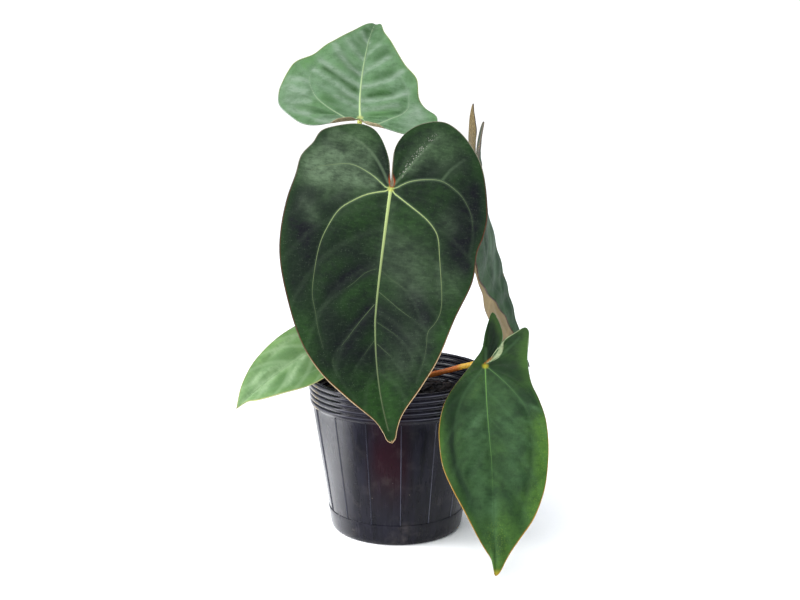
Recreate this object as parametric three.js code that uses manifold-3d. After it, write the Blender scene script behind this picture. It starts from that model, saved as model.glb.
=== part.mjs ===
import * as THREE from 'three';
import { mergeVertices } from 'three/addons/utils/BufferGeometryUtils.js';
import Module from 'manifold-3d';

// A potted anthurium hybrid: five velvety heart-shaped leaves on long stalks, rising
// from one short stem in a soft black nursery pot.
// Millimetres, +Z up. The origin is the middle of the pot's bottom face, and the
// largest leaf hangs over the pot's front, which is -Y.

const wasm = await Module();
wasm.setup();

// Driving sizes of the pot
const RIM_RADIUS = 52.5;
const POT_HEIGHT = 95;
const WALL = 1;
const FLOOR_THICKNESS = 1.6;
const BASE_RADIUS = 36.5;
const BAND_HEIGHT = 13;
const BAND_RADIUS = 40.7;
const COLLAR_BOTTOM = 77;
const COLLAR_WALL_RADIUS = 50.2;
const COLLAR_RINGS = 5;
const RING_DEPTH = 0.9;
const PANELS = 15;
const PANEL_LINE_HEIGHT = 0.35;
const PANEL_PHASE = 9.5;
const DRAIN_HOLES = 5;
const DRAIN_RADIUS = 3.5;
const DRAIN_CIRCLE = 26;

// Driving sizes of the mix, the stem and its roots
const CLEARANCE = 0.3;
const MIX_EDGE_HEIGHT = 77.5;
const MIX_CROWN_RISE = 3.5;
const MIX_LUMP = 0.9;
const STEM_RADIUS = 5;
const STEM_BOTTOM = 58;
const STEM_TOP = 101;
const LEAF_SCARS = 6;
const ROOTS = 6;
const ROOT_RADIUS = 1.3;
const ROOT_REACH = 24;
const SHEATH_RADIUS = 6.4;
const SHEATH_THICKNESS = 0.7;
const SHEATH_SCALES = 5;

// Driving sizes of the leaves
const BLADE_THICKNESS = 0.8;
const KEEL_DEPTH = 1.3;
const KEEL_HALF_WIDTH = 2;
const SINUS_START = -2;
const LOBE_VEINS = 5;
const LATERAL_VEINS = 7;
const COLUMNS = [0, 0.06, 0.24, 0.44, 0.64, 0.83, 1];
const STALK_SIDES = 7;
const STALK_STEP = 4.5;
const STALK_RADIUS = 1.6;
const STALK_BASE_RADIUS = 2.1;
const KNEE_LENGTH = 13;
const KNEE_STRAIGHT = 6;

// Each leaf: its midrib as a Bezier curve from the junction with the stalk to the tip,
// the way its upper face looks, how far its halves fold up (degrees, junction and tip),
// how its halves curl (per millimetre: junction, middle, tip), its twist, how its lobes
// bend up, and both margins in the flat blade as distances along and across the midrib.
const LEAVES = {
  front: {
    colour: 0x2c4430,
    midrib: [[-3, -24, 206.5], [-13, -42, 160], [-16, -61, 113], [-2, -66, 71]],
    face: [0, -0.93, 0.36],
    fold: [4, 14],
    curl: [-0.003, -0.004, 0],
    twist: [0, 0],
    lobeBend: 0.004,
    lobeShare: 0.38,
    quilt: 0.5,
    wave: 0.5,
    left: [[-9, -2.3], [-16, -4.3], [-22.5, -7.6], [-28.5, -12], [-32, -17], [-33, -24], [-31, -33],
      [-24, -46], [-12, -52], [1, -54.7], [24, -56.8], [46, -55], [64, -49.5], [86, -41],
      [101, -31.5], [114, -19.5], [128, -7], [136, -3.2]],
    right: [[-8, -0.9], [-14, -1.5], [-21.5, -2.3], [-28, -0.8], [-34, 3], [-39, 9], [-42.5, 18],
      [-42, 26], [-36, 36], [-25, 46], [-12, 52], [5, 56.3], [19, 56], [30, 53.8], [50, 52.7],
      [73, 44.5], [98, 35], [115, 23.5], [129, 10.3], [137, 5.4]],
    stalk: [[0, 5.4, 97], [-1, 6.5, 106], [-3, 4, 135], [-5, -1, 170], [-4.5, -10, 196]],
    knee: 2.2,
  },
  top: {
    colour: 0x5f8a5c,
    midrib: [[-21, 20, 242], [-24, 52, 261], [-14, 88, 302], [-12, 110, 291]],
    face: [0, -0.5, 0.87],
    fold: [6, 10],
    curl: [-0.004, -0.004, 0],
    twist: [-6, 0],
    lobeBend: 0.008,
    lobeShare: 0.36,
    quilt: 1.2,
    wave: 1,
    left: [[-5, -1.5], [-10, -6], [-12.5, -13.5], [-16.5, -25], [-17, -35], [-11, -43], [-1, -45.5],
      [6, -44.5], [13, -38.6], [21, -35], [37, -33], [50, -25.2], [61, -19], [70, -14.3], [82, -8],
      [95, -4]],
    right: [[-6.5, 12.9], [-10, 26], [-8.5, 35], [-1, 42.5], [7, 47.5], [17, 48.3], [24, 47.4],
      [34, 44.3], [42, 40.4], [50, 31.8], [60, 25.5], [68, 18.3], [78.5, 11], [93, 5]],
    stalk: [[-5, 2, 94], [-6.5, 4, 105], [-11, 10, 150], [-18, 17, 205], [-21, 20, 232]],
    knee: 2.1,
  },
  right: {
    colour: 0x4f6f52,
    midrib: [[48.5, 40, 213], [56, 46, 177], [71, 57, 126], [84, 60, 81]],
    face: [1, 0, 0.25],
    fold: [2, -34],
    curl: [-0.01, -0.006, 0],
    twist: [7, -4],
    lobeBend: 0.017,
    lobeShare: 0.32,
    quilt: 0.6,
    wave: 0.6,
    left: [[-10, -3.5], [-20, -7], [-27, -10.5], [-29, -18], [-24, -30], [-12, -42], [5, -50],
      [25, -54], [43, -53], [56, -46.5], [69, -36], [80, -26.5], [90, -19.5], [100, -13],
      [112, -7.5], [126, -4]],
    right: [[-10, 0.8], [-19, 2.2], [-24, 7.5], [-28.5, 13.5], [-32.5, 18.2], [-25.5, 17],
      [-17, 15.5], [-8.5, 17], [1, 25], [12, 36], [30, 44], [50, 46], [75, 41.5], [86, 38],
      [95, 37.5], [109, 37.5], [119, 32.5], [128, 22.5], [134, 11]],
    stalk: [[4.5, 3, 91], [7, 5, 102], [17, 14, 145], [31, 28, 188], [40, 37, 207]],
    knee: 2.1,
  },
  low: {
    colour: 0x44703f,
    midrib: [[50.7, -32, 106], [52.5, -60, 84], [53, -84, 42], [54.5, -92, 6.5]],
    face: [0, -0.6, 0.8],
    fold: [6, 10],
    curl: [-0.004, -0.004, 0],
    twist: [0, 0],
    lobeBend: 0,
    lobeShare: 0.4,
    quilt: 0.6,
    wave: 0.8,
    left: [[-6, 4.8], [-13, 9.6], [-21, 12], [-31.5, 10.8], [-39, 7.4], [-26, 2.7], [-12.5, -0.8],
      [-2.5, -7.1], [6, -13.2], [16, -20], [25, -25], [36, -28], [46, -28.7], [60.5, -27.3],
      [73, -22.7], [86, -15.6], [98, -8.7], [109, -3.4]],
    right: [[-5.2, 5.2], [-11.5, 11.3], [-17, 16.2], [-23.5, 22], [-26.5, 25.5], [-23, 27.5],
      [-15, 26.5], [-2, 24.4], [12, 25], [23, 28.4], [36, 31.3], [50, 31.9], [63, 30.7],
      [76.5, 27.8], [90, 22], [101, 14.3], [111.5, 6.3]],
    stalk: [[5.2, -1, 87.5], [11, -3, 90.5], [30, -13, 98.3], [41, -22, 103.8], [46, -25, 105.2]],
    knee: 2.3,
  },
  left: {
    colour: 0x7fae66,
    midrib: [[-22, -6, 124], [-44, -16, 117], [-72, -32, 101], [-89.5, -41, 85]],
    face: [-0.25, -0.6, 0.75],
    fold: [6, 10],
    curl: [-0.004, -0.004, 0],
    twist: [0, 0],
    lobeBend: 0.006,
    lobeShare: 0.36,
    quilt: 0.5,
    wave: 0.6,
    left: [[-8, -3], [-13, -9], [-12, -16], [-4, -20], [10, -20.8], [31, -20.4], [43, -20.4],
      [52, -18.8], [65, -14.4], [76, -8.9], [82, -4.4]],
    right: [[-9, 4], [-14, 12], [-12, 20], [-3, 25], [15, 26.5], [35, 25.5], [51, 22.6],
      [65, 15.8], [76, 7.2], [81, 2]],
    stalk: [[-4.6, -3, 88.5], [-8, -5, 95], [-14.5, -6, 109]],
    knee: 2,
  },
};

function vector(values) {
  return new THREE.Vector3(...values);
}

function material(colour, roughness) {
  return new THREE.MeshStandardMaterial({ color: colour, roughness, metalness: 0 });
}

function bare(geometry) {
  geometry.deleteAttribute('normal');
  geometry.deleteAttribute('uv');
  return mergeVertices(geometry, 1e-4);
}

// Solids are joined and cut here, and come back as plain triangles.
function toSolid(geometry) {
  const merged = bare(geometry);
  return new wasm.Manifold(new wasm.Mesh({
    numProp: 3,
    vertProperties: Float32Array.from(merged.attributes.position.array),
    triVerts: Uint32Array.from(merged.index.array),
  }));
}

function fromSolid(solid) {
  const mesh = solid.getMesh();
  const geometry = new THREE.BufferGeometry();
  geometry.setAttribute('position', new THREE.BufferAttribute(mesh.vertProperties, 3));
  geometry.setIndex(new THREE.BufferAttribute(mesh.triVerts, 1));
  return geometry;
}

function part(name, geometry, colour, roughness) {
  geometry.computeVertexNormals();
  const mesh = new THREE.Mesh(geometry, material(colour, roughness));
  mesh.name = name;
  return mesh;
}

// A profile of radius and height turned round the Z axis.
function turned(profile, segments) {
  const points = profile.map(([radius, height]) => new THREE.Vector2(radius, height));
  const geometry = new THREE.LatheGeometry(points, segments);
  geometry.rotateX(Math.PI / 2);
  return geometry;
}

// The section of a rod, one millimetre in radius.
function roundSection(sides) {
  const section = new THREE.Shape();
  for (let side = 0; side < sides; side += 1) {
    const angle = (2 * Math.PI * side) / sides;
    const corner = [Math.cos(angle), Math.sin(angle)];
    if (side === 0) section.moveTo(...corner);
    else section.lineTo(...corner);
  }
  section.closePath();
  return section;
}

// A rod along a path, whose radius follows the share of the way along it.
function taperedRod(path, sides, step, radiusAt) {
  const steps = Math.max(4, Math.round(path.getLength() / step));
  const section = roundSection(sides);
  const geometry = new THREE.ExtrudeGeometry(section, { steps, bevelEnabled: false, extrudePath: path });
  const centres = path.getSpacedPoints(steps);
  const corners = geometry.attributes.position;
  const corner = new THREE.Vector3();
  for (let i = 0; i < corners.count; i += 1) {
    corner.fromBufferAttribute(corners, i);
    let nearest = 0;
    centres.forEach((centre, k) => {
      if (corner.distanceTo(centre) < corner.distanceTo(centres[nearest])) nearest = k;
    });
    corner.sub(centres[nearest]).multiplyScalar(radiusAt(nearest / steps)).add(centres[nearest]);
    corners.setXYZ(i, corner.x, corner.y, corner.z);
  }
  return geometry;
}

// Pot: one thin moulded wall with a ringed collar, fine panel lines and drain holes
function potProfile() {
  const outside = [[0, 0], [BASE_RADIUS, 0], [BASE_RADIUS + 2.2, 1.2], [BAND_RADIUS - 1.2, 4]];
  outside.push([BAND_RADIUS, BAND_HEIGHT - 0.8], [BAND_RADIUS - 0.5, BAND_HEIGHT]);
  outside.push([COLLAR_WALL_RADIUS - 0.6, COLLAR_BOTTOM - 1]);
  const ringPitch = (POT_HEIGHT - COLLAR_BOTTOM - 1.2) / COLLAR_RINGS;
  const inside = [];
  for (let ring = 0; ring < COLLAR_RINGS; ring += 1) {
    const foot = COLLAR_BOTTOM + ring * ringPitch;
    const radius = COLLAR_WALL_RADIUS + ring * 0.25;
    outside.push([radius, foot], [radius + RING_DEPTH, foot + 0.5 * ringPitch]);
    inside.unshift([radius - WALL, foot], [radius + RING_DEPTH - WALL, foot + 0.5 * ringPitch]);
  }
  inside.forEach((corner, k) => {
    if (k % 2 === 0) [inside[k], inside[k + 1]] = [inside[k + 1], inside[k]];
  });
  const rim = [[RIM_RADIUS - 0.9, POT_HEIGHT - 1.2], [RIM_RADIUS, POT_HEIGHT - 0.8], [RIM_RADIUS, POT_HEIGHT]];
  rim.push([RIM_RADIUS - 1, POT_HEIGHT], [RIM_RADIUS - 1.9, POT_HEIGHT - 1.2]);
  const foot = [[BAND_RADIUS - 0.5 - WALL, BAND_HEIGHT], [BAND_RADIUS - 1.2 - WALL, 4.4]];
  foot.push([BASE_RADIUS - WALL, FLOOR_THICKNESS], [0, FLOOR_THICKNESS]);
  return [...outside, ...rim, ...inside, ...foot];
}

function potGeometry() {
  const geometry = turned(potProfile(), 4 * PANELS);
  const corners = geometry.attributes.position;
  for (let i = 0; i < corners.count; i += 1) {
    const height = corners.getZ(i);
    const radius = Math.hypot(corners.getX(i), corners.getY(i));
    const share = (height - BAND_HEIGHT) / (COLLAR_BOTTOM - 1 - BAND_HEIGHT);
    const wall = BAND_RADIUS - 0.5 + share * (COLLAR_WALL_RADIUS - 0.6 - BAND_RADIUS + 0.5);
    const onPanel = share > -0.01 && share < 1.01 && Math.abs(radius - wall) < 0.05;
    const turn = Math.atan2(corners.getY(i), corners.getX(i)) / ((2 * Math.PI) / PANELS);
    if (!onPanel || Math.abs(turn - Math.round(turn)) > 0.05) continue;
    const scale = (radius + PANEL_LINE_HEIGHT) / radius;
    corners.setXY(i, corners.getX(i) * scale, corners.getY(i) * scale);
  }
  geometry.rotateZ(THREE.MathUtils.degToRad(PANEL_PHASE));
  let pot = toSolid(geometry);
  for (let hole = 0; hole < DRAIN_HOLES; hole += 1) {
    const angle = (2 * Math.PI * (hole + 0.5)) / DRAIN_HOLES;
    const drill = new THREE.CylinderGeometry(DRAIN_RADIUS, DRAIN_RADIUS, 6 * FLOOR_THICKNESS, 12);
    drill.rotateX(Math.PI / 2);
    drill.translate(DRAIN_CIRCLE * Math.cos(angle), DRAIN_CIRCLE * Math.sin(angle), 0);
    pot = pot.subtract(toSolid(drill));
  }
  return fromSolid(pot);
}

// Stem with its roots, grown as one piece; spare widens it to make its hole in the mix
function rootPath(root, spare) {
  const angle = (2 * Math.PI * (root + 0.3)) / ROOTS;
  const along = new THREE.Vector3(Math.cos(angle), Math.sin(angle), 0);
  const start = along.clone().setZ(STEM_BOTTOM + 8 + 2 * (root % 3));
  const bend = along.clone().multiplyScalar(ROOT_REACH * 0.55).setZ(STEM_BOTTOM + 3 + 3 * (root % 2));
  const end = along.clone().multiplyScalar(ROOT_REACH + spare).setZ(STEM_BOTTOM - 14 - 4 * (root % 3) - spare);
  return new THREE.CatmullRomCurve3([start, bend, end], false, 'centripetal');
}

function stemSolid(spare) {
  const profile = [[0, STEM_BOTTOM - spare], [STEM_RADIUS * 0.7 + spare, STEM_BOTTOM - spare]];
  const pitch = (STEM_TOP - STEM_BOTTOM - 8) / LEAF_SCARS;
  for (let scar = 0; scar < LEAF_SCARS; scar += 1) {
    const foot = STEM_BOTTOM + 4 + scar * pitch;
    profile.push([STEM_RADIUS + spare, foot], [STEM_RADIUS - 0.4 + spare, foot + 0.35 * pitch]);
  }
  profile.push([STEM_RADIUS * 0.75 + spare, STEM_TOP - 3], [0, STEM_TOP + spare]);
  let stem = toSolid(turned(profile, 14));
  for (let root = 0; root < ROOTS; root += 1) {
    const radiusAt = (share) => ROOT_RADIUS * (1 - 0.35 * share) + spare;
    stem = stem.add(toSolid(taperedRod(rootPath(root, spare), 6, 6, radiusAt)));
  }
  return stem;
}

// Papery sheath remains: a low sleeve round the stem with pointed scales
function sheathGeometry() {
  const foot = MIX_EDGE_HEIGHT + MIX_CROWN_RISE + 1.6;
  const outer = SHEATH_RADIUS;
  const inner = SHEATH_RADIUS - SHEATH_THICKNESS;
  const top = foot + 1.2;
  const profile = [[inner, foot], [outer, foot], [outer + 0.3, top], [inner + 0.3, top], [inner, foot]];
  const geometry = turned(profile, 6 * SHEATH_SCALES);
  const corners = geometry.attributes.position;
  for (let i = 0; i < corners.count; i += 1) {
    if (corners.getZ(i) < foot + 0.6) continue;
    const turn = (Math.atan2(corners.getY(i), corners.getX(i)) / (2 * Math.PI)) * SHEATH_SCALES - 0.28;
    const peak = Math.abs(turn - Math.round(turn));
    corners.setZ(i, top + 4.5 * Math.max(0, 0.3 - peak) / 0.3);
  }
  return bare(geometry);
}

// Potting mix: a lumpy filled body inside the pot, with plain holes for stem and roots
function mixGeometry() {
  const wallAt = (height) => {
    const share = (height - BAND_HEIGHT) / (COLLAR_BOTTOM - 1 - BAND_HEIGHT);
    return BAND_RADIUS - 0.5 + share * (COLLAR_WALL_RADIUS - 0.1 - BAND_RADIUS) - WALL - CLEARANCE - 0.35;
  };
  const bottom = FLOOR_THICKNESS + CLEARANCE;
  const profile = [[0, bottom], [BASE_RADIUS - WALL - 1, bottom], [wallAt(BAND_HEIGHT) - 0.8, 6]];
  profile.push([wallAt(BAND_HEIGHT), BAND_HEIGHT + 1], [wallAt(MIX_EDGE_HEIGHT - 4), MIX_EDGE_HEIGHT - 4]);
  profile.push([wallAt(MIX_EDGE_HEIGHT - 3) - 0.8, MIX_EDGE_HEIGHT - 0.8]);
  for (const share of [0.9, 0.76, 0.6, 0.42, 0.24, 0]) {
    const height = MIX_EDGE_HEIGHT + MIX_CROWN_RISE * (1 - share * share);
    profile.push([share * wallAt(MIX_EDGE_HEIGHT), height]);
  }
  const geometry = turned(profile, 36);
  const corners = geometry.attributes.position;
  for (let i = 0; i < corners.count; i += 1) {
    if (corners.getZ(i) < MIX_EDGE_HEIGHT - 0.1) continue;
    const x = corners.getX(i);
    const y = corners.getY(i);
    const lump = Math.sin(0.71 * x + 1.3) * Math.cos(0.63 * y) + 0.6 * Math.sin(1.37 * (x - y));
    corners.setZ(i, corners.getZ(i) + MIX_LUMP * lump);
  }
  return fromSolid(toSolid(geometry).subtract(stemSolid(CLEARANCE)));
}

// The frame of a blade at a distance along its midrib; past the junction the lobes bend up
function bladeFrames(leaf) {
  const midrib = new THREE.CubicBezierCurve3(...leaf.midrib.map(vector));
  midrib.arcLengthDivisions = 400;
  const length = midrib.getLength();
  const face = vector(leaf.face).normalize();
  const frameAt = (s) => {
    const share = THREE.MathUtils.clamp(s / length, 0, 1);
    const place = midrib.getPointAt(share);
    const along = midrib.getTangentAt(share);
    const flatUp = face.clone().addScaledVector(along, -face.dot(along)).normalize();
    const flatSide = flatUp.clone().cross(along);
    const turn = THREE.MathUtils.degToRad(THREE.MathUtils.lerp(leaf.twist[0], leaf.twist[1], share));
    const up = flatUp.clone().multiplyScalar(Math.cos(turn)).addScaledVector(flatSide, Math.sin(turn));
    const side = flatSide.clone().multiplyScalar(Math.cos(turn)).addScaledVector(flatUp, -Math.sin(turn));
    if (s < 0 && leaf.lobeBend > 0) {
      const bend = -s * leaf.lobeBend;
      place.addScaledVector(along, -Math.sin(bend) / leaf.lobeBend);
      place.addScaledVector(up, (1 - Math.cos(bend)) / leaf.lobeBend);
      const bentUp = up.clone().multiplyScalar(Math.cos(bend)).addScaledVector(along, Math.sin(bend));
      return { place, up: bentUp, side, share };
    }
    if (s < 0) place.addScaledVector(along, s);
    return { place, up, side, share };
  };
  return { length, frameAt };
}

// Curl of a half at a share of the midrib, eased between the three given values
function curlAt(curl, share) {
  if (share < 0.5) return THREE.MathUtils.lerp(curl[0], curl[1], 2 * share);
  return THREE.MathUtils.lerp(curl[1], curl[2], 2 * share - 1);
}

// A point of the blade's middle surface: along and across in the flat blade, and its lift
function bladePoint(leaf, frames, s, t, lift) {
  const { place, up, side, share } = frames.frameAt(s);
  const fold = THREE.MathUtils.degToRad(THREE.MathUtils.lerp(leaf.fold[0], leaf.fold[1], share));
  const curl = curlAt(leaf.curl, share);
  const reach = Math.abs(t);
  const angle = fold + curl * reach;
  let across = reach * Math.cos(fold);
  let rise = reach * Math.sin(fold);
  if (Math.abs(curl) > 1e-6) {
    across = (Math.sin(angle) - Math.sin(fold)) / curl;
    rise = (Math.cos(fold) - Math.cos(angle)) / curl;
  }
  const point = place.clone();
  point.addScaledVector(side, Math.sign(t) * (across - lift * Math.sin(angle)));
  return point.addScaledVector(up, rise + lift * Math.cos(angle));
}

// The rows of a half blade run from the junction or the midrib out to its margin:
// the first ones fan out into the lobe, the others lie along the lateral veins.
function bladeRows(leaf) {
  const rows = [];
  for (let k = 0; k <= 2 * LOBE_VEINS; k += 1) {
    rows.push({ margin: (leaf.lobeShare * k) / (2 * LOBE_VEINS), rib: 0, pucker: k % 2 });
  }
  for (let k = 1; k <= 2 * LATERAL_VEINS; k += 1) {
    const way = k / (2 * LATERAL_VEINS);
    rows.push({ margin: leaf.lobeShare + (1 - leaf.lobeShare) * way, rib: way ** 1.1, pucker: k % 2 });
  }
  return rows;
}

// The blade as a sheet of triangles, puckered between its veins and waved at its margin
function bladeSheet(leaf, frames) {
  const corners = [];
  const triangles = [];
  const known = new Map();
  const cornerAt = (s, t, lift) => {
    const key = `${s.toFixed(3)} ${t.toFixed(3)}`;
    if (!known.has(key)) {
      known.set(key, corners.length);
      corners.push({ s, t, point: bladePoint(leaf, frames, s, t, lift) });
    }
    return known.get(key);
  };
  for (const [outline, mirrored] of [[leaf.left, true], [leaf.right, false]]) {
    const stations = [[SINUS_START, 0], ...outline, [frames.length, 0]];
    const margin = new THREE.SplineCurve(stations.map(([s, t]) => new THREE.Vector2(s, t)));
    const grid = bladeRows(leaf).map(({ margin: share, rib, pucker }) => {
      const edge = margin.getPointAt(share);
      return COLUMNS.map((u) => {
        const swell = leaf.quilt * pucker * Math.sin(Math.PI * Math.min(1, 1.1 * u));
        const wave = leaf.wave * Math.sin(26 * share) * u * u * u;
        return cornerAt((1 - u) * rib * frames.length + u * edge.x, u * edge.y, swell + wave * (1 - share ** 4));
      });
    });
    for (let row = 0; row + 1 < grid.length; row += 1) {
      for (let column = 0; column + 1 < COLUMNS.length; column += 1) {
        const [a, b] = [grid[row][column], grid[row][column + 1]];
        const [c, d] = [grid[row + 1][column + 1], grid[row + 1][column]];
        for (const face of [[a, b, c], [a, c, d]]) {
          if (new Set(face).size < 3) continue;
          triangles.push(mirrored ? face : [face[0], face[2], face[1]]);
        }
      }
    }
  }
  return { corners, triangles };
}

// The sheet given its thickness, with both faces split alike, and a keel under the midrib
function bladeGeometry(leaf, frames) {
  const { corners, triangles } = bladeSheet(leaf, frames);
  const sheet = new THREE.BufferGeometry();
  sheet.setFromPoints(corners.map(({ point }) => point));
  sheet.setIndex(triangles.flat());
  sheet.computeVertexNormals();
  const normals = sheet.attributes.normal;
  const upper = [];
  const lower = [];
  corners.forEach(({ s, t, point }, i) => {
    const normal = new THREE.Vector3().fromBufferAttribute(normals, i);
    const taper = 1 - Math.max(0, s) / frames.length;
    const keel = KEEL_DEPTH * taper * Math.exp(-((t / KEEL_HALF_WIDTH) ** 2));
    upper.push(point.clone().addScaledVector(normal, BLADE_THICKNESS / 2));
    lower.push(point.clone().addScaledVector(normal, -BLADE_THICKNESS / 2 - keel));
  });
  const below = corners.length;
  const faces = [];
  const edges = new Map();
  for (const [a, b, c] of triangles) {
    faces.push([a, b, c], [below + a, below + c, below + b]);
    for (const [from, to] of [[a, b], [b, c], [c, a]]) {
      if (!edges.delete(`${to} ${from}`)) edges.set(`${from} ${to}`, [from, to]);
    }
  }
  for (const [from, to] of edges.values()) {
    faces.push([from, below + from, below + to], [from, below + to, to]);
  }
  const geometry = new THREE.BufferGeometry();
  geometry.setFromPoints([...upper, ...lower]);
  geometry.setIndex(faces.flat());
  return geometry;
}

// A stalk from the stem to just under the blade, thicker at its foot and at its knee
function stalkGeometry(leaf, frames, stem) {
  const { place, up } = frames.frameAt(0);
  const points = leaf.stalk.map(vector);
  points.unshift(points[0].clone().multiply(new THREE.Vector3(0.2, 0.2, 1)));
  points.push(place.clone().addScaledVector(up, -KNEE_STRAIGHT), place.clone().addScaledVector(up, 1));
  const path = new THREE.CatmullRomCurve3(points, false, 'centripetal');
  const kneeShare = 1 - KNEE_LENGTH / path.getLength();
  const radiusAt = (share) => {
    const knee = THREE.MathUtils.smoothstep(share, kneeShare - 0.04, kneeShare + 0.04);
    const foot = 1 - THREE.MathUtils.smoothstep(share, 0, 0.25);
    return STALK_RADIUS + (leaf.knee - STALK_RADIUS) * knee + (STALK_BASE_RADIUS - STALK_RADIUS) * foot;
  };
  const rod = toSolid(taperedRod(path, STALK_SIDES, STALK_STEP, radiusAt));
  const seat = place.clone().addScaledVector(up, -BLADE_THICKNESS / 2 - KEEL_DEPTH - CLEARANCE);
  const inward = up.clone().negate();
  const trimmed = rod.trimByPlane(inward.toArray(), inward.dot(seat));
  return fromSolid(trimmed.subtract(stem));
}

const plant = new THREE.Group();
plant.add(part('pot', potGeometry(), 0x1b1c1f, 0.42));
plant.add(part('potting_mix', mixGeometry(), 0x16120f, 0.95));
plant.add(part('stem', fromSolid(stemSolid(0)), 0x6b6a3c, 0.7));
plant.add(part('sheaths', sheathGeometry(), 0x8a6a42, 0.85));
const stemSeat = stemSolid(CLEARANCE);
for (const [name, leaf] of Object.entries(LEAVES)) {
  const frames = bladeFrames(leaf);
  plant.add(part(`stalk_${name}`, stalkGeometry(leaf, frames, stemSeat), 0xa8702f, 0.5));
  plant.add(part(`blade_${name}`, bladeGeometry(leaf, frames), leaf.colour, 0.6));
}

export default plant;
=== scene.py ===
import math
import random

import bpy
import numpy as np
from mathutils import Euler, Matrix, Vector
from mathutils.bvhtree import BVHTree


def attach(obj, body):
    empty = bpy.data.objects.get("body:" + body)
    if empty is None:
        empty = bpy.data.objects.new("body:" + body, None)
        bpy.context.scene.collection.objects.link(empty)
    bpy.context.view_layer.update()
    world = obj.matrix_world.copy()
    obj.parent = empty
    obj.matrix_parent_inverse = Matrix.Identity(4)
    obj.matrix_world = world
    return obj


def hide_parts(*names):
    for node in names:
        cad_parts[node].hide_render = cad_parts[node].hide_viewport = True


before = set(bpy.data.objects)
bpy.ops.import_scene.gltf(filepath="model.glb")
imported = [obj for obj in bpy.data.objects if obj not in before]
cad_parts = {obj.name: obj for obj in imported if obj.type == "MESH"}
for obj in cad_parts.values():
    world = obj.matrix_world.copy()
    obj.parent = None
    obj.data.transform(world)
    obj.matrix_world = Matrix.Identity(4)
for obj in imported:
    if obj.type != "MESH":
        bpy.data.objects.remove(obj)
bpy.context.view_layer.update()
MM = 0.001


# The pot is a thin, soft nursery pot, moulded in one piece in black polypropylene. Five rounded
# rings stiffen its collar, fine ribs run down its wall to a plain band, and five holes drain
# its floor.
RIM_RADIUS = 52.5 * MM
POT_HEIGHT = 95 * MM
POT_WALL = 1 * MM
BASE_RADIUS = 36.5 * MM
BAND_RADIUS = 40.7 * MM
BAND_HEIGHT = 13 * MM
WALL_TOP_RADIUS = 49.6 * MM
WALL_TOP = 76 * MM
WALL_STEPS = 16
COLLAR_BOTTOM = 77 * MM
COLLAR_RADIUS = 50.2 * MM
COLLAR_RINGS = 5
RING_BULGE = 0.9 * MM
RING_GROWTH = 0.25 * MM
RIM_BOTTOM = POT_HEIGHT - 1.2 * MM
RING_PITCH = (RIM_BOTTOM - COLLAR_BOTTOM) / COLLAR_RINGS
PANELS = 15
PANEL_TURN = 2 * math.pi / PANELS
PANEL_PHASE = math.radians(9.5)
RIB_WIDTH = 0.6 * MM
RIB_HEIGHT = 0.55 * MM
DRAIN_HOLES = 5
DRAIN_RADIUS = 3.5 * MM
DRAIN_CIRCLE = 26 * MM
RIM_SWAY = 0.35
RIM_RIPPLE = 0.2
RIM_DIP = 0.3 * MM
RIM_CREST = 0.5 * MM
RIB_CATCH = 0.1 * MM


def shade(red, green, blue):
    """A colour as it looks on a screen, from 0 to 255, as the shader wants it."""
    return [(v / 255 / 12.92) if v < 10 else ((v / 255 + 0.055) / 1.055) ** 2.4
            for v in (red, green, blue)] + [1]


class Field:
    """A value that varies over a surface, as a shader node puts it out."""

    def __init__(self, socket):
        self.socket = socket

    def math(self, operation, other=0.0):
        inputs = {0: self, 1: other}
        return add_node(self.socket.id_data, "ShaderNodeMath", inputs, operation=operation)

    def __add__(self, other):
        return self.math("ADD", other)

    def __sub__(self, other):
        return self.math("SUBTRACT", other)

    def __mul__(self, other):
        return self.math("MULTIPLY", other)

    def __truediv__(self, other):
        return self.math("DIVIDE", other)

    def __gt__(self, other):
        return self.math("GREATER_THAN", other)

    def __lt__(self, other):
        return self.math("LESS_THAN", other)

    def __abs__(self):
        return self.math("ABSOLUTE")

    def spread(self, low, high, to_low=0.0, to_high=1.0):
        """Maps low..high of the value smoothly to the new range."""
        inputs = {"Value": self, "From Min": low, "From Max": high}
        inputs |= {"To Min": to_low, "To Max": to_high}
        kind = "ShaderNodeMapRange"
        return add_node(self.socket.id_data, kind, inputs, interpolation_type="SMOOTHSTEP")

    def stretched(self, *scale, shift=(0, 0, 0)):
        inputs = {"Vector": self, "Scale": scale, "Location": shift}
        return add_node(self.socket.id_data, "ShaderNodeMapping", inputs)


def add_node(tree, kind, inputs=(), output=0, **settings):
    """Adds a node, fed with numbers, colours or fields, and gives one of its outputs."""
    made = tree.nodes.new(kind)
    for setting, value in settings.items():
        setattr(made, setting, value)
    for key, value in dict(inputs).items():
        if isinstance(value, Field):
            tree.links.new(value.socket, made.inputs[key])
        else:
            made.inputs[key].default_value = value
    return Field(made.outputs[output])


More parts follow.
